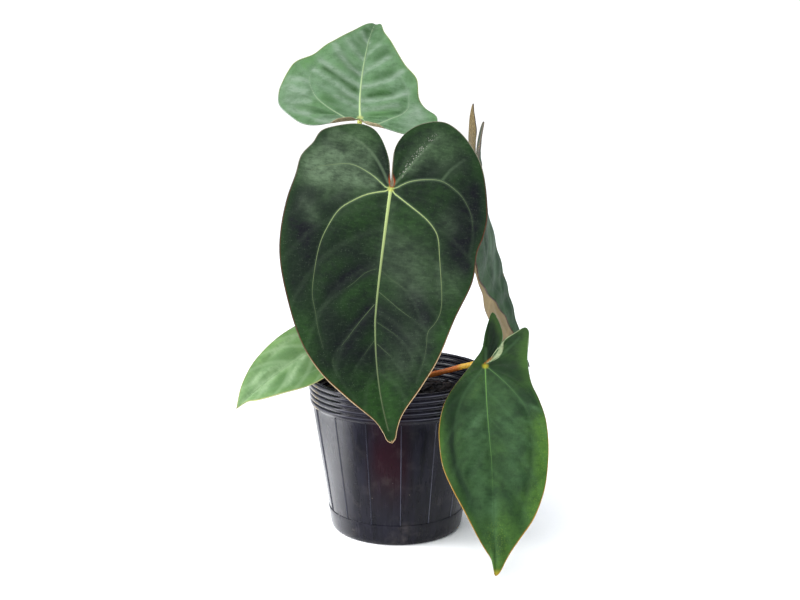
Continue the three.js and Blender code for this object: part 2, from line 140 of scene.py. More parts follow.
class Skin:
    """A material in the making. Each paint lays a tone over the colour that it has so far."""

    def __init__(self, name, tone, **sockets):
        self.material = bpy.data.materials.new(name)
        self.material.use_nodes = True
        self.tree = self.material.node_tree
        self.shader = self.tree.nodes["Principled BSDF"]
        self.colour = tone
        for socket, value in sockets.items():
            self.shader.inputs[socket.replace("_", " ")].default_value = value

    def node(self, *kind_and_inputs, **settings):
        return add_node(self.tree, *kind_and_inputs, **settings)

    def place(self):
        return self.node("ShaderNodeTexCoord", output="Object")

    def attribute(self, name):
        return self.node("ShaderNodeAttribute", output="Fac", attribute_name=name)

    def clouds(self, place, scale, detail=3.0, roughness=0.5, distortion=0.0):
        inputs = {"Vector": place, "Scale": scale, "Detail": detail}
        inputs |= {"Roughness": roughness, "Distortion": distortion}
        return self.node("ShaderNodeTexNoise", inputs, "Fac")

    def specks(self, place, scale, size, share):
        """Small round specks, on a share of the cells of a grid."""
        cells = {"Vector": place, "Scale": scale}
        chosen = self.node("ShaderNodeTexVoronoi", cells, "Color") > 1 - share
        near = self.node("ShaderNodeTexVoronoi", cells, "Distance").spread(size, 0.5 * size)
        return chosen * near

    def blend(self, share, first, second):
        return self.node("ShaderNodeMix", {0: share, 6: first, 7: second}, 2, data_type="RGBA")

    def paint(self, share, tone):
        self.colour = self.blend(share, self.colour, tone)

    def feed(self, socket, field):
        self.tree.links.new(field.socket, self.shader.inputs[socket])

    def done(self, height, strength, distance):
        """The material, with its colour and with bumps of the given height."""
        self.feed("Base Color", self.colour)
        bumps = {"Height": height, "Strength": strength, "Distance": distance}
        self.feed("Normal", self.node("ShaderNodeBump", bumps))
        return self.material


def select_only(*pieces):
    """Selects these pieces and nothing else. The last one is the active one."""
    if bpy.context.object and bpy.context.object.mode == "EDIT":
        bpy.ops.object.mode_set(mode="OBJECT")
    bpy.ops.object.select_all(action="DESELECT")
    for piece in pieces:
        piece.select_set(True)
        bpy.context.view_layer.objects.active = piece


def apply_modifier(piece, kind, **settings):
    select_only(piece)
    modifier = piece.modifiers.new(kind.title(), kind)
    for setting, value in settings.items():
        setattr(modifier, setting, value)
    bpy.ops.object.modifier_apply(modifier=modifier.name)


def place_is_final(piece, name, smooth_angle):
    """Puts a piece's place into its mesh, names it and smooths its gentle edges."""
    select_only(piece)
    bpy.ops.object.transform_apply(location=True, rotation=True, scale=True)
    bpy.ops.object.shade_smooth_by_angle(angle=math.radians(smooth_angle))
    piece.name = name
    piece.data.name = name


def extrude_ring(rise, growth):
    """Draws the selected ring of edges up, and widens or narrows it."""
    bpy.ops.mesh.extrude_edges_move(TRANSFORM_OT_translate={"value": (0, 0, rise)})
    bpy.ops.transform.resize(value=(growth, growth, 1))


def turn_up(profile, sides, name):
    """A bottom disc drawn up ring by ring through a profile of radius and height."""
    select_only()
    (radius, height), rest = profile[0], profile[1:]
    bpy.ops.mesh.primitive_circle_add(
        vertices=sides, radius=radius, fill_type="NGON", location=(0, 0, height))
    piece = bpy.context.object
    piece.name = name
    bpy.ops.object.transform_apply(location=True)
    bpy.ops.object.mode_set(mode="EDIT")
    bpy.ops.mesh.flip_normals()
    bpy.ops.mesh.select_mode(type="EDGE")
    for next_radius, next_height in rest:
        extrude_ring(next_height - height, next_radius / radius)
        radius, height = next_radius, next_height
    return piece


def stepped(radius, height, steps):
    """Places beside a radius and a height, by steps out and up in millimetres."""
    return [(radius + out * MM, height + up * MM) for out, up in steps]


def pot_profile():
    points = stepped(BASE_RADIUS, 0, [(0, 0), (1.3, 0.35), (2.2, 1.2)])
    points += stepped(BAND_RADIUS, 0, [(-1.4, 3), (-0.9, 6), (-0.3, 10)])
    points += stepped(BAND_RADIUS, BAND_HEIGHT, [(0, -0.9), (-0.1, -0.3), (-0.5, 0)])
    foot_radius, foot = points[-1]
    for step in range(1, WALL_STEPS + 1):
        share = step / WALL_STEPS
        radius = foot_radius + share * (WALL_TOP_RADIUS - foot_radius)
        points.append((radius, foot + share * (WALL_TOP - foot)))
    for ring in range(COLLAR_RINGS):
        for share in (0, 0.12, 0.3, 0.5, 0.7, 0.88):
            bulge = RING_BULGE * math.sin(math.pi * share) ** 0.6
            radius = COLLAR_RADIUS + ring * RING_GROWTH + bulge
            points.append((radius, COLLAR_BOTTOM + (ring + share) * RING_PITCH))
    points += stepped(RIM_RADIUS, RIM_BOTTOM, [(-1.1, 0), (-0.3, 0.25), (0, 0.6)])
    return points + stepped(RIM_RADIUS, POT_HEIGHT, [(-0.1, -0.15), (-0.45, 0)])


def on_rib(place):
    """Whether a place lies on the wall, on the middle line of one of its ribs."""
    turn = (math.atan2(place.y, place.x) - PANEL_PHASE) / PANEL_TURN
    off_line = abs(turn - round(turn)) * PANEL_TURN * place.xy.length
    return off_line < RIB_CATCH and BAND_HEIGHT - RIB_CATCH < place.z < WALL_TOP + RIB_CATCH


def make_pot():
    pot = turn_up(pot_profile(), 12 * PANELS, "pot_moulded")
    bpy.ops.mesh.select_all(action="DESELECT")
    bpy.ops.object.mode_set(mode="OBJECT")
    pot.rotation_euler.z = PANEL_PHASE
    bpy.ops.object.transform_apply(rotation=True)
    for edge in pot.data.edges:
        edge.select = all(on_rib(pot.data.vertices[end].co) for end in edge.vertices)
    bpy.ops.object.mode_set(mode="EDIT")
    bpy.ops.mesh.bevel(offset=RIB_WIDTH, segments=4, affect="EDGES")
    bpy.ops.object.mode_set(mode="OBJECT")
    for corner in pot.data.vertices:
        if on_rib(corner.co):
            corner.co.xy *= 1 + RIB_HEIGHT / corner.co.xy.length
    for corner in pot.data.vertices:
        angle = math.atan2(corner.co.y, corner.co.x)
        soft = max(0, corner.co.z / POT_HEIGHT) ** 3
        sway = RIM_SWAY * math.sin(2 * angle + 0.8) + RIM_RIPPLE * math.sin(5 * angle)
        corner.co.xy *= 1 + soft * sway * MM / max(corner.co.xy.length, MM)
        if corner.co.z > POT_HEIGHT - RIM_CREST:
            corner.co.z -= RIM_DIP * (1 + math.sin(7 * angle + 1) * math.sin(3 * angle))
    apply_modifier(pot, "SOLIDIFY", thickness=POT_WALL, offset=-1, use_even_offset=False)
    for hole in range(DRAIN_HOLES):
        angle = 2 * math.pi * (hole + 0.5) / DRAIN_HOLES
        place = (DRAIN_CIRCLE * math.cos(angle), DRAIN_CIRCLE * math.sin(angle), 0)
        select_only()
        bpy.ops.mesh.primitive_cylinder_add(
            vertices=32, radius=DRAIN_RADIUS, depth=8 * POT_WALL, location=place)
        drill = bpy.context.object
        apply_modifier(pot, "BOOLEAN", operation="DIFFERENCE", object=drill, solver="EXACT")
        bpy.data.objects.remove(drill)
    place_is_final(pot, "pot_moulded", 38)
    return pot


def black_plastic():
    """Thin black plastic with flow streaks, dust and painted highlights and reflections."""
    skin = Skin("black_pot_plastic", shade(11, 11, 19), IOR=1.47)
    place = skin.place()
    x, y, z = (skin.node("ShaderNodeSeparateXYZ", {0: place}, axis) for axis in "XYZ")
    streaks = skin.clouds(place.stretched(1, 1, 0.08), 260, 4, 0.6)
    cloudy = skin.clouds(place, 34)
    skin.paint(streaks.spread(0.35, 0.7), shade(22, 21, 32))
    # A dull red tint low on the front centre: a painted reflection.
    red_reflection = abs(x + 0.004).spread(0.016, 0.004) * y.spread(-0.025, -0.04) * z.spread(0.014, 0.05)
    skin.paint(red_reflection * cloudy.spread(0.3, 0.6, 0.35, 0.9), shade(32, 4, 15))

    panel = (y.math("ARCTAN2", x) - (PANEL_PHASE - PANEL_TURN / 2)) / PANEL_TURN
    off_rib = abs(panel.math("FRACT") - 0.5)
    on_wall, on_collar = z < WALL_TOP, z > COLLAR_BOTTOM
    # Pale lines along the ribs: partly scuffs, partly a painted highlight where the raised ribs
    # catch the light.
    rib_scuffs_and_highlight = off_rib.spread(0.022, 0.008, 0, 0.6) * on_wall * (z > BAND_HEIGHT)
    skin.paint(rib_scuffs_and_highlight * cloudy.spread(0.3, 0.6, 0.4, 1), shade(84, 86, 100))
    ring = ((z - COLLAR_BOTTOM) / RING_PITCH).math("FRACT")
    # A painted highlight along the crest of each collar ring, brighter towards the right.
    crest_highlight = abs(ring - 0.66).spread(0.12, 0.03, 0, 0.9) * x.spread(-0.01, 0.02, 0.5, 1)
    skin.paint(crest_highlight * on_collar * cloudy.spread(0.3, 0.6, 0.5, 1), shade(108, 108, 120))
    # Painted golden-brown glints, a painted reflection, on the lower half of each ring at the
    # collar's far left front.
    left_glint = x.spread(-0.0435, -0.046) * x.spread(-0.0505, -0.0485) * (y < 0)
    skin.paint(left_glint * on_collar * ring.spread(0.6, 0.4, 0, 0.8), shade(104, 84, 26))

    haze = skin.clouds(place, 90, 5, 0.65).spread(0.5, 0.8, 0, 0.22)
    dust = skin.specks(place, 520, 0.2, 0.09).math("MAXIMUM", haze)
    skin.paint(dust * z.spread(0.05, 0, 0.35, 1), shade(120, 112, 108))
    gloss = (cloudy + streaks).spread(0.7, 1.3, 0.2, 0.34) * on_wall
    skin.feed("Roughness", gloss.math("MAXIMUM", 0.19))
    collar = z > WALL_TOP
    dull = z.spread(0.02, 0.065, 0.17, 0.07)
    polish = (x + collar * 0.007).spread(-0.034, -0.021, 0.55, dull)
    polish *= x.spread(-0.047, -0.037, 0.4, 1)
    polish += x.spread(0.004, 0.024, 0, 0.09) + collar * 0.06
    skin.feed("Specular IOR Level", polish)
    lines = skin.clouds(place.stretched(0.05, 0.05, 1), 1500, 2)
    return skin.done((lines * 0.5 + skin.clouds(place, 300)) * on_wall, 0.07, 0.0006)


pot = make_pot()
pot.data.materials.append(black_plastic())
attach(pot, "root")
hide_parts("pot")


# The potting mix is a loose, open mix of composted bark, coir and fines, filled to a little
# below the rim and heaped slightly towards the stem. Its surface shows the single chips.
MIX_WALL = [(33.6, 2), (37.6, 6), (38.9, 14), (43.2, 45), (47.4, 73.5)]
MIX_EDGE_HEIGHT = 77.5 * MM
MIX_CROWN_RISE = 3.5 * MM
MIX_TOP_RADIUS = 47.8 * MM
MIX_RING_STEP = 1.6 * MM
CHIPS = 520
CHIP_SHAPES = 8
CHIP_SEED = 11
CHIP_LENGTHS = (1.3, 4.6)
CHIP_TILT = 0.5
CHIP_RISE = 0.18
CHIP_CLEAR_OF_STEM = 6.3 * MM
CHIP_CLEAR_OF_POT = 0.4 * MM


def mix_height(x, y):
    """Height of the mix's heaped and lumpy surface at a place."""
    share = math.hypot(x, y) / MIX_TOP_RADIUS
    u, v = x / MM, y / MM
    lump = math.sin(0.71 * u + 1.3) * math.cos(0.63 * v) + 0.6 * math.sin(1.37 * (u - v))
    fine = math.sin(2.9 * u + v) * math.sin(2.3 * v - 0.8 * u)
    rise = MIX_CROWN_RISE * (1 - share * share)
    return MIX_EDGE_HEIGHT + rise + (0.9 * lump + 0.35 * fine) * MM


def make_mix():
    profile = stepped(0, 0, MIX_WALL) + [(MIX_TOP_RADIUS, MIX_EDGE_HEIGHT)]
    mix = turn_up(profile, 120, "mix_filled")
    radius = MIX_TOP_RADIUS
    while radius > 1.5 * MIX_RING_STEP:
        extrude_ring(0, (radius - MIX_RING_STEP) / radius)
        radius -= MIX_RING_STEP
    bpy.ops.mesh.merge(type="CENTER")
    bpy.ops.object.mode_set(mode="OBJECT")
    for corner in mix.data.vertices:
        if corner.co.z > MIX_EDGE_HEIGHT - 0.1 * MM:
            corner.co.z = mix_height(corner.co.x, corner.co.y)
    return mix


def chip_block(draw):
    """One chip of bark, a unit block knocked out of square with its edges broken."""
    select_only()
    bpy.ops.mesh.primitive_cube_add(size=1)
    chip = bpy.context.object
    for corner in chip.data.vertices:
        corner.co += Vector([draw.uniform(-0.2, 0.2) for _ in range(3)])
    bpy.ops.object.mode_set(mode="EDIT")
    bpy.ops.mesh.bevel(offset=0.13, segments=1, affect="EDGES")
    bpy.ops.object.mode_set(mode="OBJECT")
    return chip


def make_chips():
    """Copies of a few chips, each of a size and tone of its own, lying as they fell."""
    draw = random.Random(CHIP_SEED)
    blocks = [chip_block(draw) for _ in range(CHIP_SHAPES)]
    chips = []
    for number in range(CHIPS):
        reach = (MIX_TOP_RADIUS - MIX_RING_STEP) * math.sqrt(draw.random())
        angle = draw.uniform(0, 2 * math.pi)
        x, y = reach * math.cos(angle), reach * math.sin(angle)
        long = draw.uniform(*CHIP_LENGTHS) * MM * (1 if number % 3 else 1.35)
        size = Vector((long, long * draw.uniform(0.4, 0.8), long * draw.uniform(0.22, 0.5)))
        tilt = [draw.uniform(-CHIP_TILT, CHIP_TILT) for _ in range(2)]
        turn = Euler((*tilt, draw.uniform(0, math.pi)))
        tone = draw.random()
        clear_of_stem = reach - 0.5 * long >= CHIP_CLEAR_OF_STEM
        if not clear_of_stem or reach + 0.5 * long > MIX_TOP_RADIUS - CHIP_CLEAR_OF_POT:
            continue
        place = Vector((x, y, mix_height(x, y) + CHIP_RISE * size.z))
        mesh = blocks[number % CHIP_SHAPES].data.copy()
        mesh.transform(Matrix.LocRotScale(place, turn, size))
        tones = mesh.attributes.new("tone", "FLOAT", "POINT").data
        tones.foreach_set("value", [tone] * len(mesh.vertices))
        chip = bpy.data.objects.new(f"chip_{number}", mesh)
        bpy.context.collection.objects.link(chip)
        chips.append(chip)
    for block in blocks:
        bpy.data.objects.remove(block)
    return chips


def join_into(piece, others):
    select_only(*others, piece)
    bpy.ops.object.join()


def bark_and_coir():
    """Dark damp mix: each chip has a tone of its own, with fibres and pale grains of dust."""
    skin = Skin("bark_and_coir", shade(19, 17, 22), Roughness=0.86, Specular_IOR_Level=0.3)
    place = skin.place()
    lumps = skin.clouds(place, 420, 4, 0.6)
    fibres = skin.clouds(place.stretched(1, 6, 2), 500, 4, 0.7)
    skin.paint(skin.attribute("tone").spread(0.1, 0.95), shade(54, 46, 46))
    skin.paint(lumps.spread(0.4, 0.75), shade(14, 11, 13))
    skin.paint(fibres.spread(0.6, 0.8, 0, 0.55), shade(84, 70, 62))
    skin.paint(skin.specks(place, 700, 0.22, 0.05), shade(140, 130, 118))
    return skin.done(lumps + fibres, 0.6, 0.0008)


mix = make_mix()
join_into(mix, make_chips())
place_is_final(mix, "mix_filled", 34)
mix.data.materials.append(bark_and_coir())
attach(mix, "root")
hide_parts("potting_mix")


# The stem is short, thick and green-brown, ringed by the scars of old leaves. Its fleshy roots
# grow from its foot down into the mix, in one piece with it.
STEM_RADIUS = 5 * MM
STEM_BOTTOM = 58 * MM
STEM_TOP = 101 * MM
LEAF_SCARS = 6
ROOTS = 6
ROOT_RADIUS = 1.3 * MM
ROOT_REACH = 24 * MM
ROOT_TAPER = 0.35


def walk_along(line):
    """How far along a line each of its points lies."""
    return np.concatenate([[0], np.cumsum(np.linalg.norm(np.diff(line, axis=0), axis=1))])


def at_distances(line, walked, distances):
    return np.column_stack([np.interp(distances, walked, axis) for axis in line.T])


def smooth_path(points, shares, even_knots=True):
    """Points at shares of the length of a smooth curve through the given ones."""
    points = np.array(points, float)
    before, after = points[0], points[-1]
    if not even_knots:
        before, after = 2 * before - points[1], 2 * after - points[-2]
    run = np.vstack([before, points, after])
    spans = np.diff(run, axis=0)
    knots = np.ones(len(spans)) if even_knots else np.linalg.norm(spans, axis=1) ** 0.5
    way = np.linspace(0, 1, 24, endpoint=False)[:, None]
    fine = []
    for first in range(len(points) - 1):
        a, b, c, d = run[first:first + 4]
        gap, reach, next_gap = knots[first:first + 3]
        start = (b - a) * reach / max(gap, 1e-9) - (c - a) * reach / (gap + reach) + (c - b)
        stop = (d - c) * reach / max(next_gap, 1e-9) - (d - b) * reach / (reach + next_gap)
        stop += c - b
        fine.append(b + start * way + (3 * c - 3 * b - 2 * start - stop) * way ** 2
                    + (2 * b - 2 * c + start + stop) * way ** 3)
    fine = np.vstack([*fine, points[-1:]])
    walked = walk_along(fine)
    return at_distances(fine, walked, np.asarray(shares) * walked[-1])


def rod(name, points, radius_at, stations=60, smoothness=5):
    """A round rod on a smooth curve, whose radius follows the share of the way along it."""
    shares = np.linspace(0, 1, stations)
    path = smooth_path(points, shares, even_knots=False)
    curve = bpy.data.curves.new(name, "CURVE")
    curve.dimensions = "3D"
    curve.bevel_depth = 1
    curve.bevel_resolution = smoothness
    curve.use_fill_caps = True
    line = curve.splines.new("POLY")
    line.points.add(stations - 1)
    for station, place, share in zip(line.points, path, shares):
        station.co = (*place, 1)
        station.radius = radius_at(share)
    piece = bpy.data.objects.new(name, curve)
    bpy.context.collection.objects.link(piece)
    select_only(piece)
    bpy.ops.object.convert(target="MESH")
    piece = bpy.context.object
    places = np.array([corner.co for corner in piece.data.vertices])
    nearest = np.linalg.norm(places[:, None, :] - path[None, :, :], axis=2).argmin(axis=1)
    ways = piece.data.attributes.new("way", "FLOAT", "POINT").data
    ways.foreach_set("value", shares[nearest].astype(np.float32))
    return piece


def root_radius(way):
    return ROOT_RADIUS * (1 - ROOT_TAPER * way)


def make_stem():
    pitch = (STEM_TOP - STEM_BOTTOM - 8 * MM) / LEAF_SCARS
    profile = [(STEM_RADIUS * 0.7, STEM_BOTTOM), (STEM_RADIUS * 0.9, STEM_BOTTOM + 2 * MM)]
    scar_shape = ((0, 0.99), (0.07, 1.02), (0.14, 0.98), (0.2, 0.94), (0.5, 0.93), (0.85, 0.95))
    for scar in range(LEAF_SCARS):
        foot = STEM_BOTTOM + 4 * MM + scar * pitch
        profile += [(STEM_RADIUS * radius, foot + rise * pitch) for rise, radius in scar_shape]
    crown = [(0.9, 3), (0.75, 1.6), (0.5, 0.5), (0.22, 0.05)]
    profile += [(STEM_RADIUS * radius, STEM_TOP - drop * MM) for radius, drop in crown]
    stem = turn_up(profile, 48, "stem_grown")
    bpy.ops.mesh.edge_face_add()
    bpy.ops.object.mode_set(mode="OBJECT")
    for corner in stem.data.vertices:
        angle, height = math.atan2(corner.co.y, corner.co.x), corner.co.z
        knobs = 0.18 * math.sin(5 * angle + height * 900)
        knobs += 0.14 * math.sin(11 * angle - height * 1700)
        corner.co.xy *= 1 + knobs * MM / max(corner.co.xy.length, MM)
    roots = []
    for root in range(ROOTS):
        angle = 2 * math.pi * (root + 0.3) / ROOTS
        out = Vector((math.cos(angle), math.sin(angle), 0))
        steps = [(MM, 8 + 2 * (root % 3)), (ROOT_REACH * 0.55, 3 + 3 * (root % 2)),
                 (ROOT_REACH, -14 - 4 * (root % 3))]
        points = [out * reach + Vector((0, 0, STEM_BOTTOM + rise * MM)) for reach, rise in steps]
        roots.append(rod(f"root_{root}", points, root_radius, 24, 3))
    join_into(stem, roots)
    place_is_final(stem, "stem_grown", 60)
    return stem


def ringed_bark():
    """Green-brown stem skin with corky rings and fine cracks round it."""
    tone = shade(92, 98, 52)
    skin = Skin("ringed_stem_skin", tone, Roughness=0.66, Specular_IOR_Level=0.35)
    place = skin.place()
    rings = skin.clouds(place.stretched(1, 1, 5), 260, 4, 0.6)
    skin.paint(skin.clouds(place, 320).spread(0.35, 0.65), shade(116, 92, 58))
    skin.paint(rings.spread(0.5, 0.72), shade(70, 52, 36))
    return skin.done(rings, 0.5, 0.0008)


stem = make_stem()
stem.data.materials.append(ringed_bark())
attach(stem, "root")
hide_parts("stem")


# The sheaths are what is left of the papery scales that once wrapped each new leaf. They dry to
# brown paper and then to fibres, and stay wrapped round the stem just above the mix.
SHEATH_FOOT = 82.6 * MM
SHEATH_RADIUS = 5.9 * MM
SHEATH_THICKNESS = 0.35 * MM
SHEATH_LEVELS = 9
SHEATH_SCALES = 5
SHEATH_SLEEVE = 1.2 * MM
SCALE_HEIGHT = 4.6 * MM
SCALE_HALF = 0.36
SCALE_PHASE = 0.28
SHEATH_FIBRES = 46
FIBRE_SEED = 5


def fibre_radius(way):
    return (0.11 - 0.07 * way) * MM


def make_sheaths():
    profile = stepped(SHEATH_RADIUS, SHEATH_FOOT, [(0.03 * k, k) for k in range(SHEATH_LEVELS)])
    sheaths = turn_up(profile, 150, "sheaths_papery")
    bpy.ops.mesh.select_all(action="DESELECT")
    bpy.ops.object.mode_set(mode="OBJECT")
    for face in sheaths.data.polygons:
        face.select = len(face.vertices) > 4
    bpy.ops.object.mode_set(mode="EDIT")
    bpy.ops.mesh.select_mode(type="FACE")
    bpy.ops.mesh.delete(type="ONLY_FACE")
    bpy.ops.object.mode_set(mode="OBJECT")
    for corner in sheaths.data.vertices:
        angle = math.atan2(corner.co.y, corner.co.x)
        turn = angle / (2 * math.pi) * SHEATH_SCALES - SCALE_PHASE
        peak = max(0, SCALE_HALF - abs(turn - round(turn))) / SCALE_HALF
        frayed = 0.5 * math.sin(61 * turn) + 0.4 * math.sin(23 * turn + 1)
        top = SHEATH_SLEEVE + SCALE_HEIGHT * peak ** 0.8 + 0.35 * MM * frayed
        level = (corner.co.z - SHEATH_FOOT) / ((SHEATH_LEVELS - 1) * MM)
        corner.co.z = SHEATH_FOOT + level * top
        lean = 0.5 * level * level * math.sin(3 * turn) + 0.1 * math.sin(40 * turn)
        corner.co.xy *= 1 + lean * MM / corner.co.xy.length
    apply_modifier(sheaths, "SOLIDIFY", thickness=SHEATH_THICKNESS, offset=0)
    draw = random.Random(FIBRE_SEED)
    fibres = []
    for number in range(SHEATH_FIBRES):
        angle = draw.uniform(0, 2 * math.pi)
        radius = draw.uniform(5.5, 6.6) * MM
        points = []
        for rise in (0, 0.35, 0.7, 1):
            angle += draw.uniform(-0.12, 0.12)
            radius += draw.uniform(-0.1, 0.3) * MM * rise
            height = SHEATH_FOOT - 0.5 * MM + rise * draw.uniform(4, 8.5) * MM
            points.append((radius * math.cos(angle), radius * math.sin(angle), height))
        points.sort(key=lambda point: point[2])
        fibres.append(rod(f"fibre_{number}", points, fibre_radius, 9, 0))
    join_into(sheaths, fibres)
    place_is_final(sheaths, "sheaths_papery", 50)
    return sheaths


def brown_paper():
    """Dry brown sheath skin with upright fibres and darker worn places."""
    tone = shade(96, 66, 40)
    skin = Skin("dry_sheath_paper", tone, Roughness=0.84, Specular_IOR_Level=0.25)
    place = skin.place()
    fibres = skin.clouds(place.stretched(1, 1, 0.12), 1500, 4, 0.6)
    skin.paint(fibres.spread(0.35, 0.65), shade(158, 122, 82))
    skin.paint(skin.clouds(place, 260).spread(0.5, 0.8, 0, 0.7), shade(74, 52, 36))
    return skin.done(fibres, 0.5, 0.0005)


sheaths = make_sheaths()
sheaths.data.materials.append(brown_paper())
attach(sheaths, "root")
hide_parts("sheaths")


# Each leaf has one long round stalk, which grows from the stem and swells into a paler knee
# just below the blade. The knee turns the blade to the light. The skin is orange-brown, smooth
# and slightly glossy, with fine streaks along it.
STALK_RADIUS = 1.6
STALK_FOOT_RADIUS = 2.1
KNEE_LENGTH = 13
GOLD_BEFORE_KNEE = {"low": 0.17}
KNEE_COLOURS = {
    "front": shade(196, 170, 78), "top": shade(208, 214, 98), "right": shade(186, 160, 80),
    "low": shade(240, 190, 66), "left": shade(176, 180, 84),
}

# Each leaf, in millimetres and degrees: its midrib from the junction with the stalk to the tip,
# the way its upper face looks, how its halves fold, curl and twist, how its lobes bend up and
# the share of each margin that they take, how high its puckers, waves and ripples are, where
# its apex between the lobes is, the radius of its knee, the places that its stalk runs through,
# and both margins in the flat blade, along and across the midrib.
LEAVES = {
    "front": {
        "midrib": [(-3, -24, 206.5), (-13, -42, 160), (-16, -61, 113), (-2, -66, 71)],
        "face": (0, -0.93, 0.36), "fold": (4, 14), "curl": (-0.003, -0.004, 0), "twist": (0, 0),
        "lobe_bend": 0.004, "lobe_share": 0.38, "quilt": 0.5, "wave": 0.5, "apex": -0.8,
        "knee": 1.5,
        "stalk": [(0, 5.4, 97), (-1, 6.5, 106), (-3, 4, 135), (-5, -1, 170), (-4.5, -10, 196)],
        "left": [
            (-2.4, -0.9), (-5, -1.6), (-9, -2.4), (-16, -4.3), (-22.5, -7.6), (-28.5, -12),
            (-32, -17), (-33, -24), (-31, -33), (-25.5, -44.4), (-17.5, -48.2), (-9, -53.3),
            (2, -54.3), (15, -56.4), (31, -56.8), (46, -55), (64, -49.5), (86, -41), (101, -31.5),
            (114, -19.5), (128, -7), (136, -3.4), (141.5, -2.4)],
        "right": [
            (-2.2, 1.1), (-4.6, 1.1), (-8, -0.4), (-14, -1.5), (-21.5, -2.3), (-28, -0.8), (-34, 3),
            (-39, 9), (-42.5, 18), (-42, 26), (-36, 36), (-25, 46), (-12, 52), (5, 56.3), (19, 56),
            (30, 53.8), (50, 52.7), (73, 44.5), (98, 35), (115, 23.5), (129, 10.3), (137, 5),
            (141.5, 2.8)],
    },
    "top": {
        "midrib": [(-21, 20, 242), (-24, 52, 261), (-14, 88, 302), (-12, 110, 291)],
        "face": (0, -0.5, 0.87), "fold": (6, 10), "curl": (-0.004, -0.004, 0), "twist": (-6, 0),
        "lobe_bend": 0.008, "lobe_share": 0.36, "quilt": 1.2, "wave": 1, "knee": 1.5,
        "stalk": [(-5, 2, 94), (-6.5, 4, 105), (-11, 10, 150), (-18, 17, 205), (-21, 20, 232)],
        "left": [
            (-5, -1.5), (-10, -6), (-12.5, -13.5), (-16.5, -25), (-17, -35), (-11, -43),
            (-1, -45.5), (6, -44.5), (13, -38.6), (21, -35), (37, -33), (50, -25.2), (61, -19),
            (70, -14.3), (82, -8), (95, -4)],
        "right": [
            (-6.5, 12.9), (-10, 26), (-8.5, 35), (-1, 42.5), (7, 47.5), (17, 48.3), (24, 47.4),
            (34, 44.3), (42, 40.4), (50, 31.8), (60, 25.5), (68, 18.3), (78.5, 11), (93, 5)],
    },
    "right": {
        "midrib": [(48.5, 40, 213), (56, 46, 177), (71, 57, 126), (84, 60, 81)],
        "face": (1, 0, 0.25), "fold": (2, -34), "curl": (-0.01, -0.006, 0), "twist": (7, -4),
        "lobe_bend": 0.017, "lobe_share": 0.32, "quilt": 0.5, "wave": 0.6, "ripple": 0.4,
        "knee": 2.1,
        "stalk": [(4.5, 3, 91), (7, 5, 102), (17, 14, 145), (31, 28, 188), (40, 37, 207)],
        "left": [
            (-10, -3.5), (-20, -7), (-27, -10.5), (-29, -18), (-24, -30), (-12, -42), (5, -50),
            (25, -54), (43, -53), (56, -46.5), (69, -36), (80, -26.5), (90, -19.5), (100, -13),
            (112, -7.5), (126, -4)],
        "right": [
            (-10, 0.8), (-19, 2.2), (-24, 7.5), (-28.5, 13.5), (-32.5, 18.2), (-25.5, 17),
            (-17, 15.5), (-8.5, 17), (1, 25), (12, 36), (30, 44), (50, 46), (75, 41.5), (86, 38),
            (95, 37.5), (109, 37.5), (119, 32.5), (128, 22.5), (134, 11)],
    },
    "low": {
        "midrib": [(50.7, -32, 106), (52.5, -60, 84), (53, -84, 42), (54.2, -92, 3.8)],
        "face": (0, -0.6, 0.8), "fold": (6, 10), "curl": (-0.004, -0.004, 0), "twist": (0, 0),
        "lobe_bend": 0, "lobe_share": 0.4, "quilt": 0.9, "wave": 0.8, "knee": 2.3,
        "stalk": [
            (5.2, -1, 87.5), (11, -3, 90.5), (30, -13, 98.3), (41, -22, 103.8), (46, -25, 105.2)],
        "left": [
            (-6, 4.8), (-13, 9.6), (-21, 12), (-31.5, 10.8), (-39, 7.4), (-26, 2.7), (-12.5, -0.8),
            (-2.5, -7.1), (6, -13.2), (16, -20), (25, -25), (36, -28), (46, -28.7), (60.5, -27.3),
            (73, -22.7), (86, -16), (100.8, -8.5), (107, -4.9), (111.4, -2.2), (116.3, -1),
            (119.7, -0.7)],
        "right": [
            (-5.4, 4.5), (-12, 9.4), (-18, 13), (-23.8, 20.8), (-26.5, 25.5), (-23, 27.5),
            (-15, 26.5), (-2, 24.4), (12, 25), (23, 28.4), (36, 31.3), (50, 31.9), (63, 30.7),
            (76.5, 27.8), (90, 22), (101, 13.9), (107.4, 9.1), (111.6, 6.5), (116.4, 3.9),
            (118.9, 2.4), (120.1, 1.2)],
    },
    "left": {
        "midrib": [(-22, -6, 124), (-44, -16, 117), (-72, -32, 101), (-90.6, -41.4, 83.6)],
        "face": (-0.25, -0.6, 0.75), "fold": (6, 10), "curl": (-0.004, -0.004, 0), "twist": (0, 0),
        "lobe_bend": 0.006, "lobe_share": 0.36, "quilt": 0.8, "wave": 0.6, "knee": 2,
        "stalk": [(-4.6, -3, 88.5), (-8, -5, 95), (-14.5, -6, 109)],
        "left": [
            (-8, -3), (-13, -9), (-12, -16), (-4, -20), (10, -20.8), (31, -20.4), (43, -20.4),
            (52, -18.8), (65, -14.4), (76, -8.9), (82, -4.4)],
        "right": [
            (-9, 4), (-14, 12), (-12, 20), (-3, 25), (15, 26.5), (35, 25.5), (51, 22.6), (65, 15.8),
            (76, 7.2), (81, 2)],
    },
}


def unit(vectors):
    return vectors / np.linalg.norm(vectors, axis=-1, keepdims=True)


def eased(value, low, high):
    share = np.clip((value - low) / (high - low), 0, 1)
    return share * share * (3 - 2 * share)


